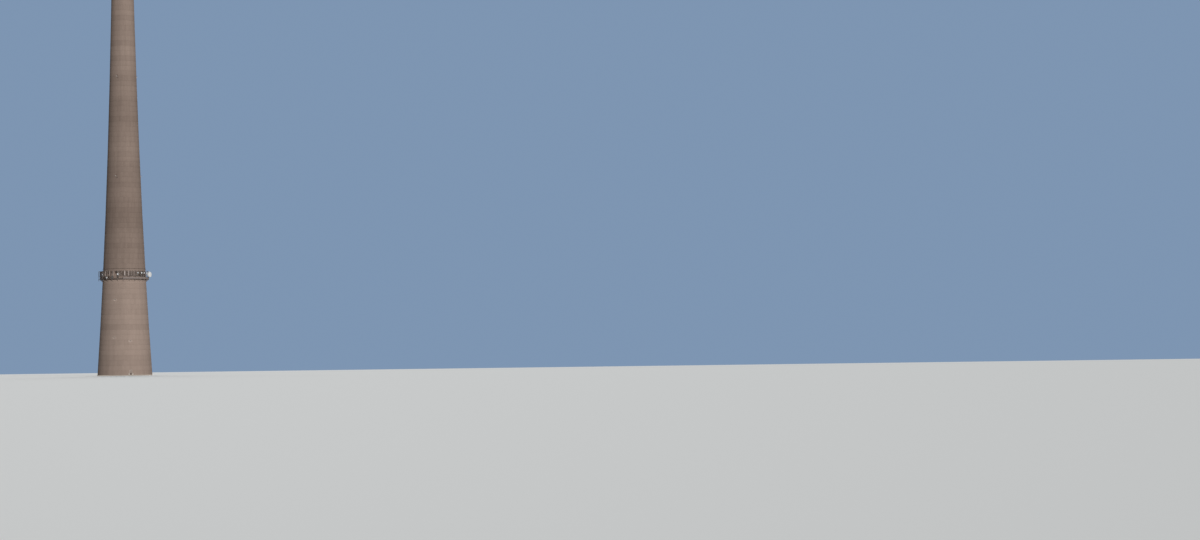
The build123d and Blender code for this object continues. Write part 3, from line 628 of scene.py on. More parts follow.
def slab_material(name):
    """Paler, smoother concrete of slabs and the kicker at the foot."""
    nodes, shader = new_material(name, Diffuse_Roughness=1.0)
    grains = nodes.use(grain, Fine_scale=70.0, Broad_scale=4.0)
    dust = nodes.use(settled_dust, Amount=0.5)
    colour = nodes.mixed(grains["Broad"], shade((0.72, 0.66, 0.58)), shade((0.46, 0.40, 0.34)))
    colour = nodes.mixed(dust["Mask"], colour, shade("concrete_dark"))
    cover(nodes, shader, colour, grains["Fine"], (0.75, 0.95), (grains["Fine"], 0.0008, 0.5))


def metal_material(name, colour, stain, metallic, roughness, streaked=0.5):
    """Metal with cloudy wear, streaks and settled dust. Where no stain is given, the colour darkens."""
    nodes, shader = new_material(name)
    grains = nodes.use(grain, Fine_scale=160.0, Broad_scale=22.0)
    streaks = nodes.use(rain_streaks, Across=45.0, Low=0.50, High=0.75)
    dust = nodes.use(settled_dust, Amount=0.6, Scale=30.0)
    streak = nodes.sum("MULTIPLY", streaks["Mask"], streaked)
    wear = nodes.ranged(nodes.sum("MULTIPLY_ADD", grains["Broad"], 0.6, streak), 0.25, 0.85)
    base = nodes.mixed(wear, shade(colour), shade(stain) if stain else shade(colour, 0.55))
    base = nodes.mixed(dust["Mask"], base, shade((0.26, 0.22, 0.18)))
    nodes.tree.links.new(nodes.ranged(wear, 0.0, 1.0, metallic, metallic * 0.4), shader.inputs["Metallic"])
    cover(nodes, shader, base, grains["Fine"], (roughness - 0.08, roughness + 0.12),
          (grains["Fine"], 0.0003, 0.35), edge=0.25)


def radome_material(name, colour, roughness):
    """Moulded plastic covers with a faint sheen, dulled by dirt that runs down them."""
    nodes, shader = new_material(name, Coat_Roughness=0.25)
    grains = nodes.use(grain, Fine_scale=240.0, Broad_scale=12.0)
    streaks = nodes.use(rain_streaks, Across=60.0, Low=0.52, High=0.80)
    dust = nodes.use(settled_dust, Amount=0.7, Scale=25.0)
    cloud = nodes.sum("MULTIPLY", grains["Broad"], 0.18)
    dirt = nodes.sum("MULTIPLY_ADD", streaks["Mask"], 0.35, cloud, clamp=True)
    base = nodes.mixed(dirt, shade(colour), shade(colour, 0.55))
    base = nodes.mixed(dust["Mask"], base, shade((0.30, 0.26, 0.21)))
    nodes.tree.links.new(nodes.ranged(dirt, 0.0, 1.0, 0.35, 0.0), shader.inputs["Coat Weight"])
    cover(nodes, shader, base, grains["Fine"], (roughness - 0.06, roughness + 0.1),
          (grains["Fine"], 0.0002, 0.25))


def lens_material(name):
    """Red moulded glass of the obstruction lights."""
    nodes, shader = new_material(name, IOR=1.5, Coat_Roughness=0.08)
    grains = nodes.use(grain, Fine_scale=400.0, Broad_scale=60.0)
    colour = nodes.mixed(grains["Broad"], shade("lamp_red"), shade("lamp_red", 0.5))
    cover(nodes, shader, colour, grains["Fine"], (0.10, 0.26))


def window_material(name):
    """Dark window glass with a film of dirt."""
    nodes, shader = new_material(name, IOR=1.45, Transmission_Weight=0.35, Metallic=0.0)
    grains = nodes.use(grain, Fine_scale=120.0, Broad_scale=9.0)
    colour = nodes.mixed(grains["Broad"], shade((0.045, 0.055, 0.062)), shade((0.11, 0.12, 0.12)))
    cover(nodes, shader, colour, grains["Fine"], (0.06, 0.22))


# Each finish: the record's slot, the maker of its material, and what the maker is told
FINISHES = {
    "Weathered concrete": ("concrete", concrete_material),
    "Slab concrete": ("slab_concrete", slab_material),
    "Cement surround": ("slab_concrete", metal_material, (0.455, 0.350, 0.292), (0.350, 0.265, 0.215),
                        0.0, 0.85),
    "Galvanised steel": ("galvanised_steel", metal_material, "galvanised", (0.24, 0.21, 0.185), 0.55, 0.55),
    "Dark steel": ("dark_steel", metal_material, "dark_steel", (0.13, 0.075, 0.045), 0.1, 0.62),
    "Vent paint": ("dark_steel", metal_material, (0.16, 0.120, 0.095), (0.10, 0.075, 0.058), 0.0, 0.6),
    "Black sheath": ("dark_steel", radome_material, (0.022, 0.022, 0.022), 0.5),
    "Bracket paint": ("bracket_paint", metal_material, (0.36, 0.285, 0.24), (0.22, 0.17, 0.14), 0.0, 0.7),
    "Light panels": ("light_panel", metal_material, "light_panel", None, 0.0, 0.7),
    "Hood paint": ("light_panel", metal_material, (0.62, 0.52, 0.46), (0.40, 0.33, 0.28), 0.0, 0.7),
    "Box paint": ("light_panel", metal_material, (0.48, 0.43, 0.39), (0.37, 0.32, 0.28), 0.0, 0.5, 0.3),
    "Door paint": ("door_paint", metal_material, (0.30, 0.232, 0.192), (0.20, 0.150, 0.120), 0.0, 0.5),
    "Cabinet grey": ("cabinet_grey", metal_material, (0.22, 0.215, 0.205), (0.13, 0.12, 0.105), 0.0, 0.5),
    "Head cladding": ("head_cladding", metal_material, (0.33, 0.32, 0.30), (0.20, 0.18, 0.16), 0.0, 0.55),
    "Bare aluminium": ("bare_aluminium", metal_material, (0.62, 0.62, 0.63), (0.40, 0.39, 0.38), 0.9, 0.35),
    "White radome": ("radome_white", radome_material, "radome_white", 0.42),
    "Grey radome": ("radome_grey", radome_material, "radome_grey", 0.6),
    "Weathered radome": ("radome_grey", radome_material, (0.30, 0.235, 0.205), 0.65),
    "Mast skin": ("mast_skin", radome_material, (0.60, 0.60, 0.58), 0.5),
    "Red lens": ("lamp_red", lens_material),
    "Window glass": ("window_glass", window_material),
}


def finish(name):
    """The material of a finish, made when it is first asked for."""
    if name not in bpy.data.materials:
        maker, *told = FINISHES[name][1:]
        maker(name, *told)
    return bpy.data.materials[name]


class TOWER_OT_shaft(bpy.types.Operator):
    """Build the concrete shaft with its pour joints and openings"""

    bl_idname = "tower.shaft"
    bl_label = "Shaft"

    def execute(self, context):
        sizes = context.scene.tower_sizes
        for index, rings in enumerate(shaft_rings()):
            stage = "shaft_stage_%d" % (index + 1)
            wall = Shape()
            wall.lathe(self.profile(rings, sizes), sizes.shaft_sides)
            self.cut_openings(wall.made(stage + "_concrete", "Weathered concrete", 40, stage), stage)
        low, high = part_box("base_slab")
        radius = -low.y
        kicker = Shape()
        kicker.lathe([(0, 0), (radius, 0), (radius, 0.023), (radius - 0.002, 0.0265),
                      (radius - 0.006, high.z), (0, high.z)], sizes.shaft_sides)
        kicker.made("base_kicker", "Slab concrete", 30, "base_slab")
        paint_nodes("Slab concrete", "gallery_level_floor")
        return {"FINISHED"}

    def profile(self, rings, sizes):
        """A stage's outer face up to its top, with a groove at each pour joint, and its bore back down."""
        half = sizes.joint_width / 2
        low, high = rings[0][0], rings[-1][0]
        outer = [(low, 0)]
        first = math.ceil(low / sizes.lift_height + 0.02)
        last = math.floor(high / sizes.lift_height - 0.02)
        for lift in range(first, last + 1):
            joint = lift * sizes.lift_height
            outer += [(joint - half, 0), (joint, sizes.joint_depth), (joint + half, 0)]
        outer.append((high, 0))
        return ([(wall_radius(level) - depth, level) for level, depth in outer]
                + [(bore, level) for level, _, bore in reversed(rings)])

    def cut_openings(self, piece, stage):
        """Cut the doorways and windows of a stage through its wall."""
        cutters = Shape()
        for node, azimuth, width, height, sill in (*DOORS.values(), *WINDOWS):
            if node == stage:
                middle = sill + height / 2
                cutters.block(width, 0.24, height, facing(azimuth, wall_radius(middle) - 0.02, middle))
        if not cutters.faces:
            return
        cutter = cutters.linked("opening cutters")
        cutting = piece.modifiers.new("Openings", "BOOLEAN")
        cutting.operation = "DIFFERENCE"
        cutting.solver = "EXACT"
        cutting.object = cutter
        bpy.context.view_layer.update()
        cut = bpy.data.meshes.new_from_object(piece.evaluated_get(bpy.context.evaluated_depsgraph_get()))
        piece.modifiers.clear()
        piece.data = cut
        bpy.data.objects.remove(cutter)
        if not len(cut.polygons):
            raise RuntimeError("The openings of %s could not be cut" % stage)


class TOWER_OT_openings(bpy.types.Operator):
    """Finish the doors, the louvred windows and their hoods"""

    bl_idname = "tower.openings"
    bl_label = "Doors and windows"

    def execute(self, context):
        paint_nodes("Hood paint", "entrance_door_frame", "gallery_door_frame", "window_frames",
                    "window_louvres", "window_hoods")
        paint_nodes("Door paint", *DOORS)
        self.window_surrounds()
        self.door_vents()
        self.kerb_blocks()
        self.door_hinges()
        self.window_screws(context.scene.tower_sizes.bolt_radius * 0.7)
        return {"FINISHED"}

    def window_surrounds(self):
        """A smooth raised surround beside and under each window, and a light sheet behind its louvres."""
        surrounds, sheets = Shape(), Shape()
        for _, azimuth, width, height, sill in WINDOWS:
            wall = wall_radius(sill)
            middle = sill + height / 2
            for way in (-1, 1):
                turn = way * math.degrees((width / 2 + SURROUND_SIDE / 2) / wall)
                surrounds.block(SURROUND_SIDE, 0.006, height, facing(azimuth + turn, wall - 0.0006, middle))
            surrounds.block(width + 0.004, 0.008, SURROUND_UNDER,
                            facing(azimuth, wall + 0.0005, sill - SURROUND_UNDER / 2 - 0.001))
            behind = wall_radius(sill + height) - WINDOW_REVEAL - 0.016
            sheets.block(width - 0.004, 0.0016, height - 0.004, facing(azimuth, behind, middle))
        surrounds.made("window_surrounds", "Cement surround")
        sheets.made("window_backing_sheets", "Hood paint")

    def door_vents(self):
        """A dark louvred vent low in each door."""
        vents = Shape()
        for leaf, (_, azimuth, width, _, sill) in DOORS.items():
            face = leaf_face(leaf, azimuth) + 0.0007
            for row in range(9):
                slat = leaning(facing(azimuth, face, sill + 0.020 + row * 0.009), 12)
                vents.block(width * 0.55, 0.0012, 0.0072, slat)
        vents.made("door_vents", "Vent paint")

    def door_hinges(self):
        """Three hinges down the edge of each door."""
        hinges = Shape()
        for _, azimuth, width, height, sill in DOORS.values():
            face = wall_radius(sill + height) - DOOR_REVEAL + 0.0012
            for share in (0.14, 0.5, 0.86):
                spot = facing(azimuth, face, sill + height * share, 0.0088 - width / 2)
                hinges.disc(0.0022, -0.009, 0.009, 10, spot)
        hinges.made("door_hinges", "Galvanised steel", 40)

    def kerb_blocks(self):
        """Two pale kerb blocks on the slab's edge, one each side of the entrance."""
        blocks = Shape()
        _, azimuth, width, _, sill = DOORS["entrance_door"]
        wall = wall_radius(sill)
        for way in (-1, 1):
            turn = way * math.degrees((width / 2 + KERB_WIDTH / 2 + 0.001) / wall)
            place = facing(azimuth + turn, wall + KERB_DEPTH / 2 - 0.0008, sill)
            for inset, low, high in ((0, 0, KERB_HEIGHT - 0.002), (0.003, KERB_HEIGHT - 0.002, KERB_HEIGHT)):
                blocks.prism(chamfered(KERB_WIDTH - inset, KERB_DEPTH - inset, 0.0015), low, high, place)
        blocks.made("entrance_kerb_blocks", "Slab concrete")

    def window_screws(self, radius):
        """Screws down both sides of each window's frame."""
        screws = Shape()
        for _, azimuth, width, height, sill in WINDOWS:
            face = wall_radius(sill + height) - WINDOW_REVEAL
            edge = width / 2 - 0.0032
            for aside in (-edge, edge):
                for share in (0.08, 0.5, 0.92):
                    screws.disc(radius, 0, 0.0012, 6, outward(azimuth, face, sill + height * share, aside))
        screws.made("window_screws", "Galvanised steel", 40)


class TOWER_OT_gallery(bpy.types.Operator):
    """Build the open grating, bolts, flanges and trims of the ring gallery"""

    bl_idname = "tower.gallery"
    bl_label = "Ring gallery"

    def execute(self, context):
        sizes = context.scene.tower_sizes
        paint_nodes("Bracket paint", "gallery_brackets", "gallery_inner_beam")
        paint_nodes("Dark steel", "gallery_outer_beam", "gallery_posts", "gallery_rails", "hoop_arms",
                    "upper_hoop")
        paint_nodes("Hood paint", "gallery_cross_braces")
        paint_nodes("Light panels", "gallery_fascia")
        self.grating(sizes.grating_pitch)
        self.bracket_flanges()
        self.bolts(sizes.bolt_radius)
        self.fascia_trim()
        self.mesh_screens()
        return {"FINISHED"}

    def grating(self, pitch):
        """Bearing bars that run outwards, cross bars and the binding round each panel."""
        bars = Shape()
        inner = wall_radius(BRACKET_TOP) + 0.003
        slope = math.tan(HALF_BAY)
        edge = 0.002
        thickness = 0.0007
        count = int((GRATING_RADIUS * slope - edge) / pitch)
        for post in POSTS:
            azimuth = post + BAY_ANGLE / 2
            for index in range(-count, count + 1):
                x = index * pitch
                start = max(inner, (abs(x) + edge) / slope)
                if GRATING_RADIUS - start > 0.004:
                    place = facing(azimuth, (start + GRATING_RADIUS) / 2, BRACKET_TOP + 0.002, x)
                    bars.block(thickness, GRATING_RADIUS - start, 0.0038, place)
            distance = inner
            while distance < GRATING_RADIUS:
                place = facing(azimuth, distance, BRACKET_TOP + 0.0034)
                bars.block(2 * (distance * slope - edge), thickness, 0.0010, place)
                distance += 0.0110
            for end in (inner, GRATING_RADIUS):
                place = facing(azimuth, end, BRACKET_TOP + 0.002)
                bars.block(2 * (end * slope - edge), 0.0012, 0.0040, place)
        bars.made("gallery_grating_bars", "Dark steel", None, "gallery_grating")

    def bracket_flanges(self):
        """Flanges along the top and the sloping foot of each bracket, and a plate on the wall."""
        flanges = Shape()
        foot = BRACKET_TOP - BRACKET_DEPTH
        rise = BRACKET_DEPTH - BRACKET_END_DEPTH
        wall = wall_radius(foot) + 0.0004
        reach = GALLERY_RADIUS + 0.004 - wall
        middle = wall + reach / 2
        slope = math.degrees(math.atan2(rise, reach))
        thickness = 0.0024
        for azimuth in POSTS:
            flanges.block(0.016, reach, thickness, facing(azimuth, middle, BRACKET_TOP - 0.0013))
            low = facing(azimuth, middle, foot + rise / 2 - 0.0008)
            flanges.block(0.014, math.hypot(reach, rise), thickness, leaning(low, -slope))
            plate = facing(azimuth, wall + 0.002, BRACKET_TOP - BRACKET_DEPTH / 2 - 0.002)
            flanges.block(0.030, 0.003, BRACKET_DEPTH + 0.004, plate)
        flanges.made("bracket_flanges", "Bracket paint")

    def bolts(self, radius):
        """Bolt heads on the brackets' wall plates, the posts and the rails."""
        heads, plates = Shape(), Shape()
        wall = wall_radius(BRACKET_TOP - BRACKET_DEPTH) + 0.0044
        foot = GALLERY_RADIUS - 0.0055
        cap = POST_SIZE + 0.002
        for azimuth in POSTS:
            for side in (-1, 1):
                for drop in (0.012, 0.048, 0.084, 0.120):
                    spot = outward(azimuth, wall, BRACKET_TOP - drop, side * 0.012)
                    heads.disc(radius * 1.3, 0, 0.0024, 6, spot)
            plates.block(0.022, 0.020, 0.0024, on_ring(azimuth, foot, 0.0014))
            for x in (-0.0078, 0.0078):
                for y in (-0.0070, 0.0070):
                    heads.disc(radius * 0.8, 0, 0.0016, 6, on_ring(azimuth, foot + y, 0.0026, x))
            for height in (TOP_RAIL, BAND_RAIL):
                spot = outward(azimuth, GALLERY_RADIUS + POST_SIZE / 2, GALLERY_LEVEL + height)
                heads.disc(radius, 0, 0.0016, 6, spot)
            plates.block(cap, cap, 0.0016, on_ring(azimuth, GALLERY_RADIUS, POST_HEIGHT - 0.0009))
        heads.made("gallery_bolts", "Galvanised steel")
        plates.made("post_plates", "Galvanised steel")

    def fascia_trim(self):
        """Folded lips and rivets along the fascia plates."""
        lips, rivets = Shape(), Shape()
        inner = -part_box("gallery_fascia")[0].y - 0.0002
        half_width = inner * math.tan(HALF_BAY) - 0.002
        corner = (GALLERY_RADIUS + POST_SIZE / 2) * math.cos(HALF_BAY) + POST_SIZE / 2 * math.sin(HALF_BAY)
        face = corner + FIT_GAP + FASCIA_THICKNESS
        edge = half_width - 0.006
        for bay in range(BAY_COUNT):
            if bay in OPEN_BAYS:
                continue
            azimuth = (bay + 0.5) * BAY_ANGLE
            for height in (FASCIA_TOP - 0.001, 0.001 - FASCIA_DROP):
                place = on_ring(azimuth, face - 0.004, height)
                lips.block(2 * half_width * face / inner, 0.006, 0.0016, place)
            for aside in (-edge, edge):
                for height in (-0.014, 0.010, 0.034, 0.058):
                    spot = leaning(on_ring(azimuth, face, height, aside), 90)
                    rivets.disc(0.0011, -0.0002, 0.0006, 8, spot)
        lips.made("fascia_lips", "Light panels")
        rivets.made("fascia_rivets", "Galvanised steel", 50)

    def mesh_screens(self):
        """Wire mesh above the top rail of the front bays, and from the walkway up on the left-hand side."""
        wires = Shape()
        distance = GALLERY_RADIUS * math.cos(HALF_BAY) + 0.003
        half = distance * math.tan(HALF_BAY) - POST_SIZE / 2 - 0.001
        top = BAND_RAIL - 0.0043
        wire = 0.0007
        for bay in MESH_BAYS + TALL_MESH_BAYS:
            bottom = TOP_RAIL + 0.0028 if bay in MESH_BAYS else 0.004
            place = on_ring((bay + 0.5) * BAY_ANGLE, distance, 0)
            for column in range(int(2 * half / MESH_PITCH) + 1):
                x = column * MESH_PITCH - half
                wires.tubes([(x, 0, bottom), (x, 0, top)], wire, 5, place)
            for row in range(int((top - bottom) / MESH_PITCH) + 1):
                z = bottom + row * MESH_PITCH
                wires.tubes([(-half, -0.0012, z), (half, -0.0012, z)], wire, 5, place)
        wires.made("gallery_mesh_screens", "Dark steel")


class TOWER_OT_antennas(bpy.types.Operator):
    """Build the drum and panel antennas with their mounts and feeders"""

    bl_idname = "tower.antennas"
    bl_label = "Antennas"

    def execute(self, context):
        paint_nodes("Galvanised steel", "antenna_poles", "pole_clamps", smooth_angle=70)
        self.drums()
        self.panels()
        self.radio_units()
        self.feeders()
        self.outrigger()
        self.cabinets()
        return {"FINISHED"}

    def drums(self):
        """Shrouded dishes on poles, and the large one at the right: a domed cover, a shroud and a bowl."""
        small = [(*drum, 32, 0.0) for drum in DRUMS]
        large = [(LARGE_DRUM_AZIMUTH, MIDDLE_DRUM, LARGE_DRUM, 64, LARGE_DRUM_TURN)]
        sets = ((small, "drum_radomes", "drum_shrouds", "drum_antennas"),
                (large, "large_drum_radome", "large_drum_shroud", "large_drum_antenna"))
        for drums, radomes, shrouds, node in sets:
            covers, backs = Shape(), Shape()
            for azimuth, height, radius, sides, turn in drums:
                pole = on_ring(azimuth, pole_distance(azimuth), height)
                place = pole @ outward(turn, POLE_RADIUS + FIT_GAP, 0)
                for shape, profile in ((covers, DRUM_COVER), (backs, DRUM_BOWL)):
                    shape.lathe([(radius * out, radius * along) for out, along in profile], sides, place)
            covers.made(radomes, "White radome", 35, node)
            backs.made(shrouds, "White radome", 35)

    def panel_outline(self, width):
        """A panel's plan: rounded edges at its front, and small bevels at its back."""
        half = width / 2
        rounding = 0.004
        steps = 5
        outline = [(-half, -0.0012)]
        for side, start in ((-1, 180), (1, 270)):
            for step in range(steps + 1):
                turn = math.radians(start + 90 * step / steps)
                outline.append((side * (half - rounding) + rounding * math.cos(turn),
                                rounding - PANEL_DEPTH + rounding * math.sin(turn)))
        return outline + [(half, -0.0012), (half - 0.001, 0), (0.001 - half, 0)]

    def panels(self):
        """Panel covers with rounded edges, end caps, back straps and connectors."""
        clean, weathered, metal = Shape(), Shape(), Shape()
        cap = 0.003
        for azimuth in (*WIDE_PANELS, *NARROW_PANELS):
            width = WIDE_PANEL if azimuth in WIDE_PANELS else NARROW_PANEL
            covers = weathered if azimuth in WEATHERED_PANELS else clean
            back = pole_distance(azimuth) + POLE_RADIUS + FIT_GAP
            place = on_ring(azimuth, back, PANEL_BOTTOM)
            outline = self.panel_outline(width)
            shrunk = [(x * 0.97, y * 0.94 - 0.0003) for x, y in outline]
            covers.prism(outline, cap, PANEL_HEIGHT - cap, place)
            covers.prism(shrunk, 0, cap, place)
            covers.prism(shrunk, PANEL_HEIGHT - cap, PANEL_HEIGHT, place)
            for share in (0.12, 0.88):
                metal.block(0.014, 0.0115, 0.007, moved(place, 0, POLE_RADIUS * 0.9, PANEL_HEIGHT * share))
            for share in (-0.25, 0.25):
                metal.disc(0.0014, -0.004, 0.0, 8, moved(place, share * width, -PANEL_DEPTH / 2))
        clean.made("panel_radomes", "Grey radome", 40, "panel_antennas")
        weathered.made("weathered_panel_radomes", "Weathered radome", 40)
        metal.made("panel_straps", "Galvanised steel")

    def radio_units(self):
        """Radio units with cooling fins, hangers and cable glands."""
        units = Shape()
        chord = GALLERY_RADIUS * math.cos(HALF_BAY)
        body = chamfered(UNIT_WIDTH, UNIT_DEPTH - FIN_DEPTH, 0.003)
        for (bottom, height), azimuths in RADIO_UNITS.items():
            for azimuth in azimuths:
                middle = (azimuth // BAY_ANGLE + 0.5) * BAY_ANGLE
                aside = chord * math.tan(math.radians(azimuth - middle))
                place = on_ring(middle, chord - UNIT_SET_BACK, bottom, aside)
                units.prism(body, 0.004, height - 0.003, moved(place, 0, (UNIT_DEPTH + FIN_DEPTH) / 2))
                for fin in range(FIN_COUNT):
                    x = (UNIT_WIDTH - 0.008) * (fin / (FIN_COUNT - 1) - 0.5)
                    units.block(0.0016, FIN_DEPTH, height - 0.014, moved(place, x, FIN_DEPTH / 2, height / 2))
                for x in (-0.016, 0.016):
                    units.block(0.004, 0.012, 0.003, moved(place, x, 0.010, height - 0.0015))
                for x in (-0.016, 0.016, 0):
                    units.disc(0.0032, 0, 0.004, 10, moved(place, x, 0.018))
        # Their dark paint stands in partly for painted shade: the units sit where the gallery's gaps fall in
        # shade
        units.made("radio_unit_boxes", "Dark steel", 40, "radio_units")

    def feeders(self):
        """Feeder cables clipped down the poles, and the ladder tray that gathers them inside the rails."""
        cables, tray, clips = Shape(), Shape(), Shape()
        level = GALLERY_LEVEL + TRAY_HEIGHT
        for azimuth in (*[drum[0] for drum in DRUMS], *WIDE_PANELS, *NARROW_PANELS, LARGE_DRUM_AZIMUTH):
            pole = pole_distance(azimuth) - POLE_RADIUS - 0.0016
            beside = azimuth + math.degrees(0.0042 / pole)
            cables.tubes([at(beside, pole, GALLERY_LEVEL + PANEL_BOTTOM + 0.010),
                          at(beside, pole, GALLERY_LEVEL + TOP_RAIL + 0.008),
                          at(beside, TRAY_RADIUS, GALLERY_LEVEL + TOP_RAIL + 0.005),
                          at(beside, TRAY_RADIUS, level)], FEEDER)
            clips.block(0.007, 0.004, 0.003, on_ring(azimuth, pole, PANEL_BOTTOM + 0.004))
        for left in POSTS:
            bay = (left, left + BAY_ANGLE)
            for offset in (-0.010, 0.010):
                tray.tubes(span(bay, TRAY_RADIUS + offset, level - 0.002), 0.0012, 6)
            for offset in (-0.005, -0.001, 0.003):
                cables.tubes(span(bay, TRAY_RADIUS + offset, level), FEEDER)
            for share in (0.15, 0.4, 0.65, 0.9):
                rung = on_ring(left + share * BAY_ANGLE, TRAY_RADIUS * 0.9915, TRAY_HEIGHT - 0.0022)
                tray.block(0.0025, 0.020, 0.0012, rung)
        cables.made("feeder_cables", "Black sheath", 60)
        tray.made("feeder_tray", "Galvanised steel")
        clips.made("feeder_clips", "Galvanised steel")

    def outrigger(self):
        """The outrigger's round tubes with their joint plates."""
        tubes, joints = Shape(), Shape()
        post = GALLERY_RADIUS + POST_SIZE / 2 + FIT_GAP
        reach = OUTRIGGER_REACH
        bottom = GALLERY_LEVEL - OUTRIGGER_DROP
        beam = BRACKET_TOP - BRACKET_END_DEPTH / 2
        middle = GALLERY_LEVEL + TOP_RAIL
        top = GALLERY_LEVEL + BAND_RAIL
        post_top = GALLERY_LEVEL + POST_HEIGHT
        for azimuth in OUTRIGGER_AZIMUTHS:
            tubes.tubes(span((azimuth, azimuth), reach, bottom, post_top), 0.0036, 12)
            for level in (beam, middle, top):
                tubes.tubes([at(azimuth, post, level), at(azimuth, reach, level)], 0.0034, 12)
                joints.block(0.010, 0.0024, 0.012, facing(azimuth, post + 0.0012, level))
                joints.disc(0.0046, -0.006, 0.006, 12, facing(azimuth, reach, level))
        for level in (bottom + 0.004, beam, middle, top):
            tubes.tubes(span(OUTRIGGER_AZIMUTHS, reach, level), 0.0032, 12)
        for low, high in ((bottom, beam), (middle, top)):
            for ends in (OUTRIGGER_AZIMUTHS, OUTRIGGER_AZIMUTHS[::-1]):
                tubes.tubes(span(ends, reach, low + 0.004, high), 0.0026, 10)
        tubes.made("outrigger_tubes", "Dark steel", 50, "antenna_outrigger")
        joints.made("outrigger_joints", "Dark steel", 50)

    def cabinets(self):
        """Doors, vents and hinges on the equipment cabinets."""
        paint_nodes("Cabinet grey", "equipment_cabinets")
        doors, fittings = Shape(), Shape()
        front = wall_radius(GALLERY_LEVEL) / math.cos(math.pi / FORM_PANELS) + FIT_GAP + CABINET_DEPTH
        for azimuth in CABINETS:
            place = on_ring(azimuth, front, CABINET_MIDDLE)
            doors.block(0.052, 0.0016, 0.118, place)
            for row in range(6):
                slat = leaning(moved(place, 0, -0.0012, 0.030 + row * 0.0035), 30)
                fittings.block(0.030, 0.0014, 0.0012, slat)
            fittings.block(0.0022, 0.0024, 0.014, moved(place, 0.020, -0.0020))
            for height in (-0.045, 0.0, 0.045):
                fittings.disc(0.0011, -0.004, 0.004, 8, moved(place, -0.0265, -0.0004, height))
        doors.made("cabinet_doors", "Cabinet grey")
        fittings.made("cabinet_fittings", "Dark steel")


def add_lamp(lenses, bases, place, radius, height):
    """A ribbed lens on a round base, with a wire guard."""
    base = height * 0.2
    bases.lathe([(0, 0), (radius, 0), (radius, height * 0.12), (radius * 0.82, base), (0, base)], 20, place)
    profile = [(0, base)]
    ribs = 5
    for rib in range(ribs):
        low = height * (0.2 + 0.6 * rib / ribs)
        profile += [(radius * 0.66, low), (radius * 0.74, low + height * 0.06)]
    profile += [(radius * 0.62, height * 0.84), (radius * 0.36, height * 0.95), (0, height)]
    lenses.lathe(profile, 20, place)
    for quarter in range(4):
        turn = math.radians(45 + quarter * 90)
        x, y = radius * 0.86 * math.cos(turn), radius * 0.86 * math.sin(turn)
        bases.tubes([(x, y, height * 0.15), (x, y, height * 0.9)], radius * 0.05, 6, place)


class TOWER_OT_lights(bpy.types.Operator):
    """Build the obstruction lights with their lenses, bases and guards"""

    bl_idname = "tower.lights"
    bl_label = "Obstruction lights"

    def execute(self, context):
        paint_nodes("Dark steel", "obstruction_light_brackets")
        self.service_boxes()
        lenses, bases = Shape(), Shape()
        for level in LIGHT_LEVELS:
            distance = wall_radius(level - LIGHT_BRACKET_HEIGHT) + FIT_GAP + LAMP_INSET
            for azimuth in LIGHT_AZIMUTHS:
                add_lamp(lenses, bases, facing(azimuth, distance, level), LAMP_RADIUS, LAMP_HEIGHT)
        lenses.made("obstruction_lenses", "Red lens", 40, "obstruction_lights")
        bases.made("obstruction_lamp_bases", "Dark steel", 40)
        return {"FINISHED"}

    def service_boxes(self):
        """A pale control box beside each light, its conduit, and a dark hatch low on its other side."""
        boxes, hatches, conduits = Shape(), Shape(), Shape()
        for level in LIGHT_LEVELS:
            middle = level - 0.045
            wall = wall_radius(middle)
            aside = math.degrees(0.035 / wall)
            for azimuth in LIGHT_AZIMUTHS:
                left, right = azimuth - aside, azimuth + aside * 0.8
                box = facing(left, wall + 0.009, middle)
                boxes.block(0.036, 0.020, 0.044, box)
                boxes.block(0.039, 0.003, 0.047, moved(box, 0, -0.0105))
                boxes.block(0.042, 0.027, 0.0022, moved(box, 0, -0.001, 0.0255))
                for height in (-0.013, 0.013):
                    hatches.disc(0.0016, -0.004, 0.004, 8, moved(box, -0.0200, -0.0090, height))
                hatch = facing(right, wall + 0.0026, level - 0.125)
                hatches.block(0.034, 0.007, 0.040, hatch)
                hatches.block(0.028, 0.004, 0.034, moved(hatch, 0, -0.0045))
                hatches.block(0.004, 0.004, 0.012, moved(hatch, 0.010, -0.0080))
                bends = ((left, 0.066), (left, 0.092), (right, 0.108))
                conduits.tubes([at(turn, wall + 0.006, level - drop) for turn, drop in bends], 0.0022, 10)
        boxes.made("light_control_boxes", "Box paint")
        hatches.made("light_service_hatches", "Dark steel")
        conduits.made("light_conduits", "Galvanised steel", 50)


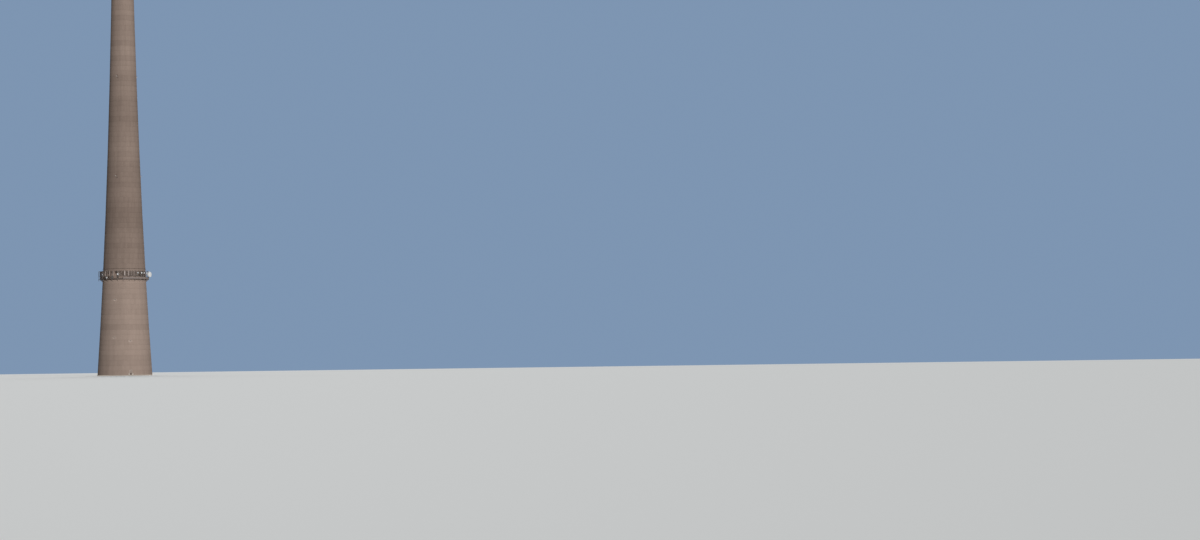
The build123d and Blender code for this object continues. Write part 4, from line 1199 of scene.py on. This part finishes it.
class TOWER_OT_head(bpy.types.Operator):
    """Build the corbel, windows, trims and railing of the room at the head"""

    bl_idname = "tower.head"
    bl_label = "Head"

    def execute(self, context):
        sides = context.scene.tower_sizes.shaft_sides
        paint_nodes("Head cladding", "head_walls")
        paint_nodes("Window glass", "head_windows")
        paint_nodes("Galvanised steel", "head_railing")
        self.corbel(sides)
        self.slabs(sides)
        self.window_bars()
        self.roof_hatch()
        return {"FINISHED"}

    def corbel(self, sides):
        """The hollow cone that widens from the shaft to the room's floor."""
        low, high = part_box("head_corbel")
        foot, top = wall_radius(low.z), high.x
        steps = 6
        outer = [(foot + (top - foot) * step / steps, low.z + (high.z - low.z) * step / steps)
                 for step in range(steps + 1)]
        corbel = Shape()
        corbel.lathe(outer + [(top - CORBEL_WALL, high.z), (foot - CORBEL_WALL, low.z)], sides)
        corbel.made("head_corbel_concrete", "Weathered concrete", 40, "head_corbel")

    def slabs(self, sides):
        """The floor and the roof, with a drip groove and a raised kerb."""
        for node in ("head_floor", "head_roof"):
            low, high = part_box(node)
            radius = high.x
            slab = Shape()
            slab.lathe([(0, low.z), (radius - 0.020, low.z), (radius - 0.018, low.z + 0.002),
                        (radius - 0.015, low.z + 0.002), (radius - 0.013, low.z), (radius - 0.001, low.z),
                        (radius, low.z + 0.001), (radius, high.z - 0.003), (radius - 0.003, high.z),
                        (0, high.z)], sides)
            slab.made(node + "_slab", "Slab concrete", 30, node)

    def window_bars(self):
        """Frames and a middle bar in each window, and cover strips at the walls' corners."""
        frames, strips = Shape(), Shape()
        low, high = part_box("head_walls")
        flat = -low.y
        half_side = math.pi / HEAD_SIDES
        corner = flat / math.cos(half_side) - 0.0035
        bar = 0.004
        depth = 0.005
        face = flat - 0.003
        x_edge, z_edge = (HEAD_WINDOW_WIDTH - bar) / 2, (HEAD_WINDOW_HEIGHT - bar) / 2
        middle = low.z + HEAD_WINDOW_SILL + HEAD_WINDOW_HEIGHT / 2
        for side in range(HEAD_SIDES):
            azimuth = side * 360 / HEAD_SIDES
            for x in (-x_edge, 0, x_edge):
                frames.block(bar, depth, HEAD_WINDOW_HEIGHT, facing(azimuth, face, middle, x))
            for z in (-z_edge, z_edge):
                frames.block(HEAD_WINDOW_WIDTH, depth, bar, facing(azimuth, face, middle + z))
            edge = facing(azimuth + 180 / HEAD_SIDES, corner, (low.z + high.z) / 2)
            strips.block(0.009, 0.006, high.z - low.z, edge)
            for z in (-0.075, 0.075):
                strips.block(2 * flat * math.tan(half_side) - 0.012, 0.0012, 0.003,
                             facing(azimuth, flat + 0.0004, middle + z))
        frames.made("head_window_bars", "Bare aluminium")
        strips.made("head_wall_strips", "Head cladding")

    def roof_hatch(self):
        """A raised hatch in the roof, with its lid, hinges and handle, and two round vent cowls."""
        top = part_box("head_roof")[1].z
        hatch, fittings = Shape(), Shape()
        place = facing(215, 0.270, top)
        hatch.prism(chamfered(0.084, 0.084, 0.002), -0.001, 0.016, place)
        hatch.prism(chamfered(0.094, 0.094, 0.004), 0.0165, 0.0205, place)
        for x in (-0.026, 0.026):
            fittings.block(0.012, 0.016, 0.0024, moved(place, x, 0.041, 0.0212))
            fittings.tubes([(x - 0.007, 0.0485, 0.0195), (x + 0.007, 0.0485, 0.0195)], 0.0022, 10, place)
        handle, foot, grip = 0.010, 0.020, 0.027
        for ends in (((-handle, foot), (-handle, grip)), ((handle, foot), (handle, grip)),
                     ((-0.011, grip), (0.011, grip))):
            fittings.tubes([(x, -0.036, z) for x, z in ends], 0.0011, 8, place)
        cowl = [(0, -0.001), (0.012, -0.001), (0.012, 0.026), (0.022, 0.026), (0.022, 0.031),
                (0.014, 0.038), (0, 0.040)]
        for azimuth in (95, 330):
            hatch.lathe(cowl, 24, Matrix.Translation(at(azimuth, 0.290, top)))
        hatch.made("head_roof_hatch", "Head cladding", 30)
        fittings.made("head_roof_fittings", "Galvanised steel", 40)


class TOWER_OT_mast(bpy.types.Operator):
    """Build the lattice, the stepped cylinders, the flanges, the lamp and the rod of the mast"""

    bl_idname = "tower.mast"
    bl_label = "Mast"

    def execute(self, context):
        low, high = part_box("mast_lattice")
        self.lattice(low.z, high.z)
        self.ladder(low.z, high.z)
        self.cylinders(low.z, high.z)
        low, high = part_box("top_light")
        middle = (low + high) / 2
        lenses, bases = Shape(), Shape()
        foot = Matrix.Translation((middle.x, middle.y, low.z))
        add_lamp(lenses, bases, foot, high.x - middle.x, high.z - low.z)
        lenses.made("top_lens", "Red lens", 40, "top_light")
        bases.made("top_lamp_base", "Dark steel", 40)
        low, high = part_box("lightning_rod")
        rod = Shape()
        rod.lathe([(0, low.z), (0.003, low.z), (0.003, low.z + 0.012), (0.0018, low.z + 0.014),
                   (0.0014, high.z - 0.012), (0, high.z)], 16)
        rod.made("air_terminal", "Bare aluminium", 40, "lightning_rod")
        return {"FINISHED"}

    def lattice(self, low, high):
        """Round legs and braces, with a sleeve round each joint."""
        bay = (high - low) / LATTICE_BAYS
        brace = 0.0045
        legs, sleeves = Shape(), Shape()
        for leg in LATTICE_LEGS:
            after = leg + 120
            legs.tubes(span((leg, leg), LATTICE_RADIUS, low, high), 0.0105, 20)
            for row in range(LATTICE_BAYS):
                bottom = low + row * bay
                start, end = (bottom, bottom + bay) if row % 2 else (bottom + bay, bottom)
                legs.tubes(span((leg, after), LATTICE_RADIUS, start, end), brace, 12)
                if row:
                    legs.tubes(span((leg, after), LATTICE_RADIUS, bottom), brace, 12)
                    joint = Matrix.Translation(at(leg, LATTICE_RADIUS, bottom))
                    sleeves.disc(0.0125, -0.010, 0.010, 20, joint)
        legs.made("mast_lattice_tubes", "Galvanised steel", 50, "mast_lattice")
        sleeves.made("mast_lattice_sleeves", "Galvanised steel", 50)

    def ladder(self, low, high):
        """A climbing ladder inside the lattice's rear face, with the feeder cables clipped beside it."""
        back = LATTICE_RADIUS / 2 - 0.0072
        sides = (-LADDER_HALF_WIDTH, LADDER_HALF_WIDTH)
        ladder, cables = Shape(), Shape()
        for x in sides:
            ladder.tubes([(x, back, low), (x, back, high)], 0.0022, 10)
        level = low + RUNG_PITCH / 2
        while level < high - RUNG_PITCH / 2:
            ladder.tubes([(x, back, level) for x in sides], 0.0014)
            level += RUNG_PITCH
        clips = [(x, 0.006, 0.0062, 0.008) for x in sides] + [(MAST_FEEDERS[1], 0.026, 0.0100, 0.005)]
        for row in range(1, LATTICE_BAYS):
            level = low + (high - low) * row / LATTICE_BAYS
            for x, width, depth, height in clips:
                ladder.block(width, depth, height, Matrix.Translation((x, back + 0.0016, level)))
        for x in MAST_FEEDERS:
            cables.tubes([(x, back, low), (x, back, high)], 0.0030, 10)
        ladder.made("mast_ladder", "Galvanised steel", 50)
        cables.made("mast_feeders", "Black sheath", 50)

    def cylinders(self, lattice_low, lattice_high):
        """The stepped skins with ring seams, and the bolted flanges."""
        low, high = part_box("mast_cylinders")
        total = sum(length for radius, length in CYLINDERS)
        reach = high.z + FLANGE_THICKNESS - low.z
        seams = 5
        seam_depth = 0.0012
        skins, flanges, bolts = Shape(), Shape(), Shape()
        bottom = low.z
        for radius, length in CYLINDERS:
            top = bottom + reach * length / total - FLANGE_THICKNESS
            profile = [(radius, bottom)]
            for seam in range(1, seams):
                level = bottom + (top - bottom) * seam / seams
                profile += [(radius, level - 0.004), (radius - seam_depth, level - 0.003),
                            (radius - seam_depth, level + 0.003), (radius, level + 0.004)]
            bore = radius - CYLINDER_SKIN
            skins.lathe(profile + [(radius, top), (bore, top), (bore, bottom)], 64)
            self.flange(flanges, bolts, radius, top)
            bottom = top + FLANGE_THICKNESS
        for level in (lattice_low - FLANGE_THICKNESS, lattice_high):
            self.flange(flanges, bolts, LATTICE_RADIUS + LATTICE_LEG_RADIUS, level)
        skins.made("mast_skins", "Mast skin", 40, "mast_cylinders")
        flanges.made("mast_flange_rings", "Galvanised steel", 40, "mast_flanges")
        bolts.made("mast_flange_bolts", "Galvanised steel")

    def flange(self, flanges, bolts, radius, bottom):
        """A plate that stands out past what it carries, with a ring of bolts."""
        radius += FLANGE_OVERHANG
        flanges.disc(radius, bottom, bottom + FLANGE_THICKNESS, 64)
        count = 16
        for index in range(count):
            place = Matrix.Translation(at(index * 360 / count, radius - 0.0045, bottom))
            bolts.disc(0.0026, -0.003, 0, 6, place)


class TOWER_OT_stage(bpy.types.Operator):
    """Set up the floor, the backdrop, the soft lights and the camera"""

    bl_idname = "tower.stage"
    bl_label = "Stage"

    def execute(self, context):
        view = context.scene.tower_view
        self.floor()
        self.backdrop(context.scene, view)
        self.lights()
        self.camera(context.scene, view)
        context.scene.view_settings.view_transform = "Standard"
        return {"FINISHED"}

    def floor(self):
        """A plain pale floor far beyond the tower."""
        half = 600.0
        plane = Shape()
        plane.add([(-half, -half, 0), (half, -half, 0), (half, half, 0), (-half, half, 0)], [(0, 1, 2, 3)])
        floor = plane.linked("floor")
        new_material("Pale floor", Roughness=0.95, Base_Color=(0.80, 0.81, 0.80, 1))
        floor.data.materials.append(bpy.data.materials["Pale floor"])
        floor.visible_diffuse = False

    def backdrop(self, scene, view):
        """An even backdrop, which lights the tower less than it shows."""
        world = bpy.data.worlds.new("Backdrop")
        scene.world = world
        world.use_nodes = True
        nodes = Nodes(world.node_tree)
        shown = world.node_tree.nodes["Background"]
        shown.inputs["Color"].default_value = shade(view.backdrop)
        shown.inputs["Strength"].default_value = 1.0
        lighting = nodes.add("Background", {"Color": (0.80, 0.90, 1.0, 1), "Strength": 0.08})
        to_camera = nodes.add("LightPath").outputs["Is Camera Ray"]
        mix = nodes.add("MixShader", {0: to_camera, 1: lighting.outputs[0], 2: shown.outputs[0]})
        world.node_tree.links.new(mix.outputs[0], world.node_tree.nodes["World Output"].inputs["Surface"])

    def lights(self):
        """Soft suns: the main one from the front, one from the right, and one behind for the far side."""
        for name, azimuth, elevation, strength, spread in (("front sun", 7.5, 10, 2.27, 12),
                                                           ("right sun", 82.5, 20, 0.82, 20),
                                                           ("rear sun", 182.5, 30, 2.1, 12)):
            light = bpy.data.lights.new(name, "SUN")
            light.energy = strength
            light.angle = math.radians(spread)
            lamp = bpy.data.objects.new(name, light)
            bpy.context.scene.collection.objects.link(lamp)
            direction = at(azimuth, math.cos(math.radians(elevation)), math.sin(math.radians(elevation)))
            lamp.rotation_mode = "QUATERNION"
            lamp.rotation_quaternion = direction.to_track_quat("Z", "Y")

    def camera(self, scene, view):
        """The camera low over the floor, panned right so that the tower stands at the left of the picture."""
        data = bpy.data.cameras.new("camera")
        data.sensor_width = 36.0
        data.lens = view.lens
        data.clip_end = 2000.0
        camera = bpy.data.objects.new("camera", data)
        scene.collection.objects.link(camera)
        camera.location = at(view.camera_azimuth, view.camera_distance, view.camera_height)
        heading = Matrix.Rotation(math.radians(view.camera_azimuth - view.pan), 4, "Z")
        roll = Matrix.Rotation(math.radians(-view.roll), 4, "Z")
        camera.rotation_mode = "QUATERNION"
        camera.rotation_quaternion = (leaning(heading, 90 + view.tilt) @ roll).to_quaternion()
        scene.camera = camera


class TOWER_PT_parts(bpy.types.Panel):
    """Lists the tower's sizes, colours and pieces in the sidebar"""

    bl_idname = "TOWER_PT_parts"
    bl_label = "Concrete radio tower"
    bl_space_type = "VIEW_3D"
    bl_region_type = "UI"
    bl_category = "Tower"

    def draw(self, context):
        for group in (context.scene.tower_sizes, context.scene.tower_colours, context.scene.tower_view):
            box = self.layout.box()
            for name in group.bl_rna.properties.keys():
                if name not in ("rna_type", "name"):
                    box.prop(group, name)
        for operator in OPERATORS:
            self.layout.operator(operator.bl_idname)


GROUPS = {"tower_sizes": TowerSizes, "tower_colours": TowerColours, "tower_view": TowerView}
OPERATORS = (TOWER_OT_shaft, TOWER_OT_openings, TOWER_OT_gallery, TOWER_OT_antennas, TOWER_OT_lights,
             TOWER_OT_head, TOWER_OT_mast, TOWER_OT_stage)


def register():
    """Register the properties, operators and panel."""
    for name, group in GROUPS.items():
        bpy.utils.register_class(group)
        setattr(bpy.types.Scene, name, bpy.props.PointerProperty(type=group))
    for made in (*OPERATORS, TOWER_PT_parts):
        bpy.utils.register_class(made)


def unregister():
    """Take the properties, operators and panel away again."""
    for made in (TOWER_PT_parts, *reversed(OPERATORS)):
        bpy.utils.unregister_class(made)
    for name, group in GROUPS.items():
        delattr(bpy.types.Scene, name)
        bpy.utils.unregister_class(group)


def main():
    """Build every piece in order."""
    register()
    for operator in OPERATORS:
        group, name = operator.bl_idname.split(".")
        getattr(getattr(bpy.ops, group), name)()


if __name__ == "__main__":
    main()
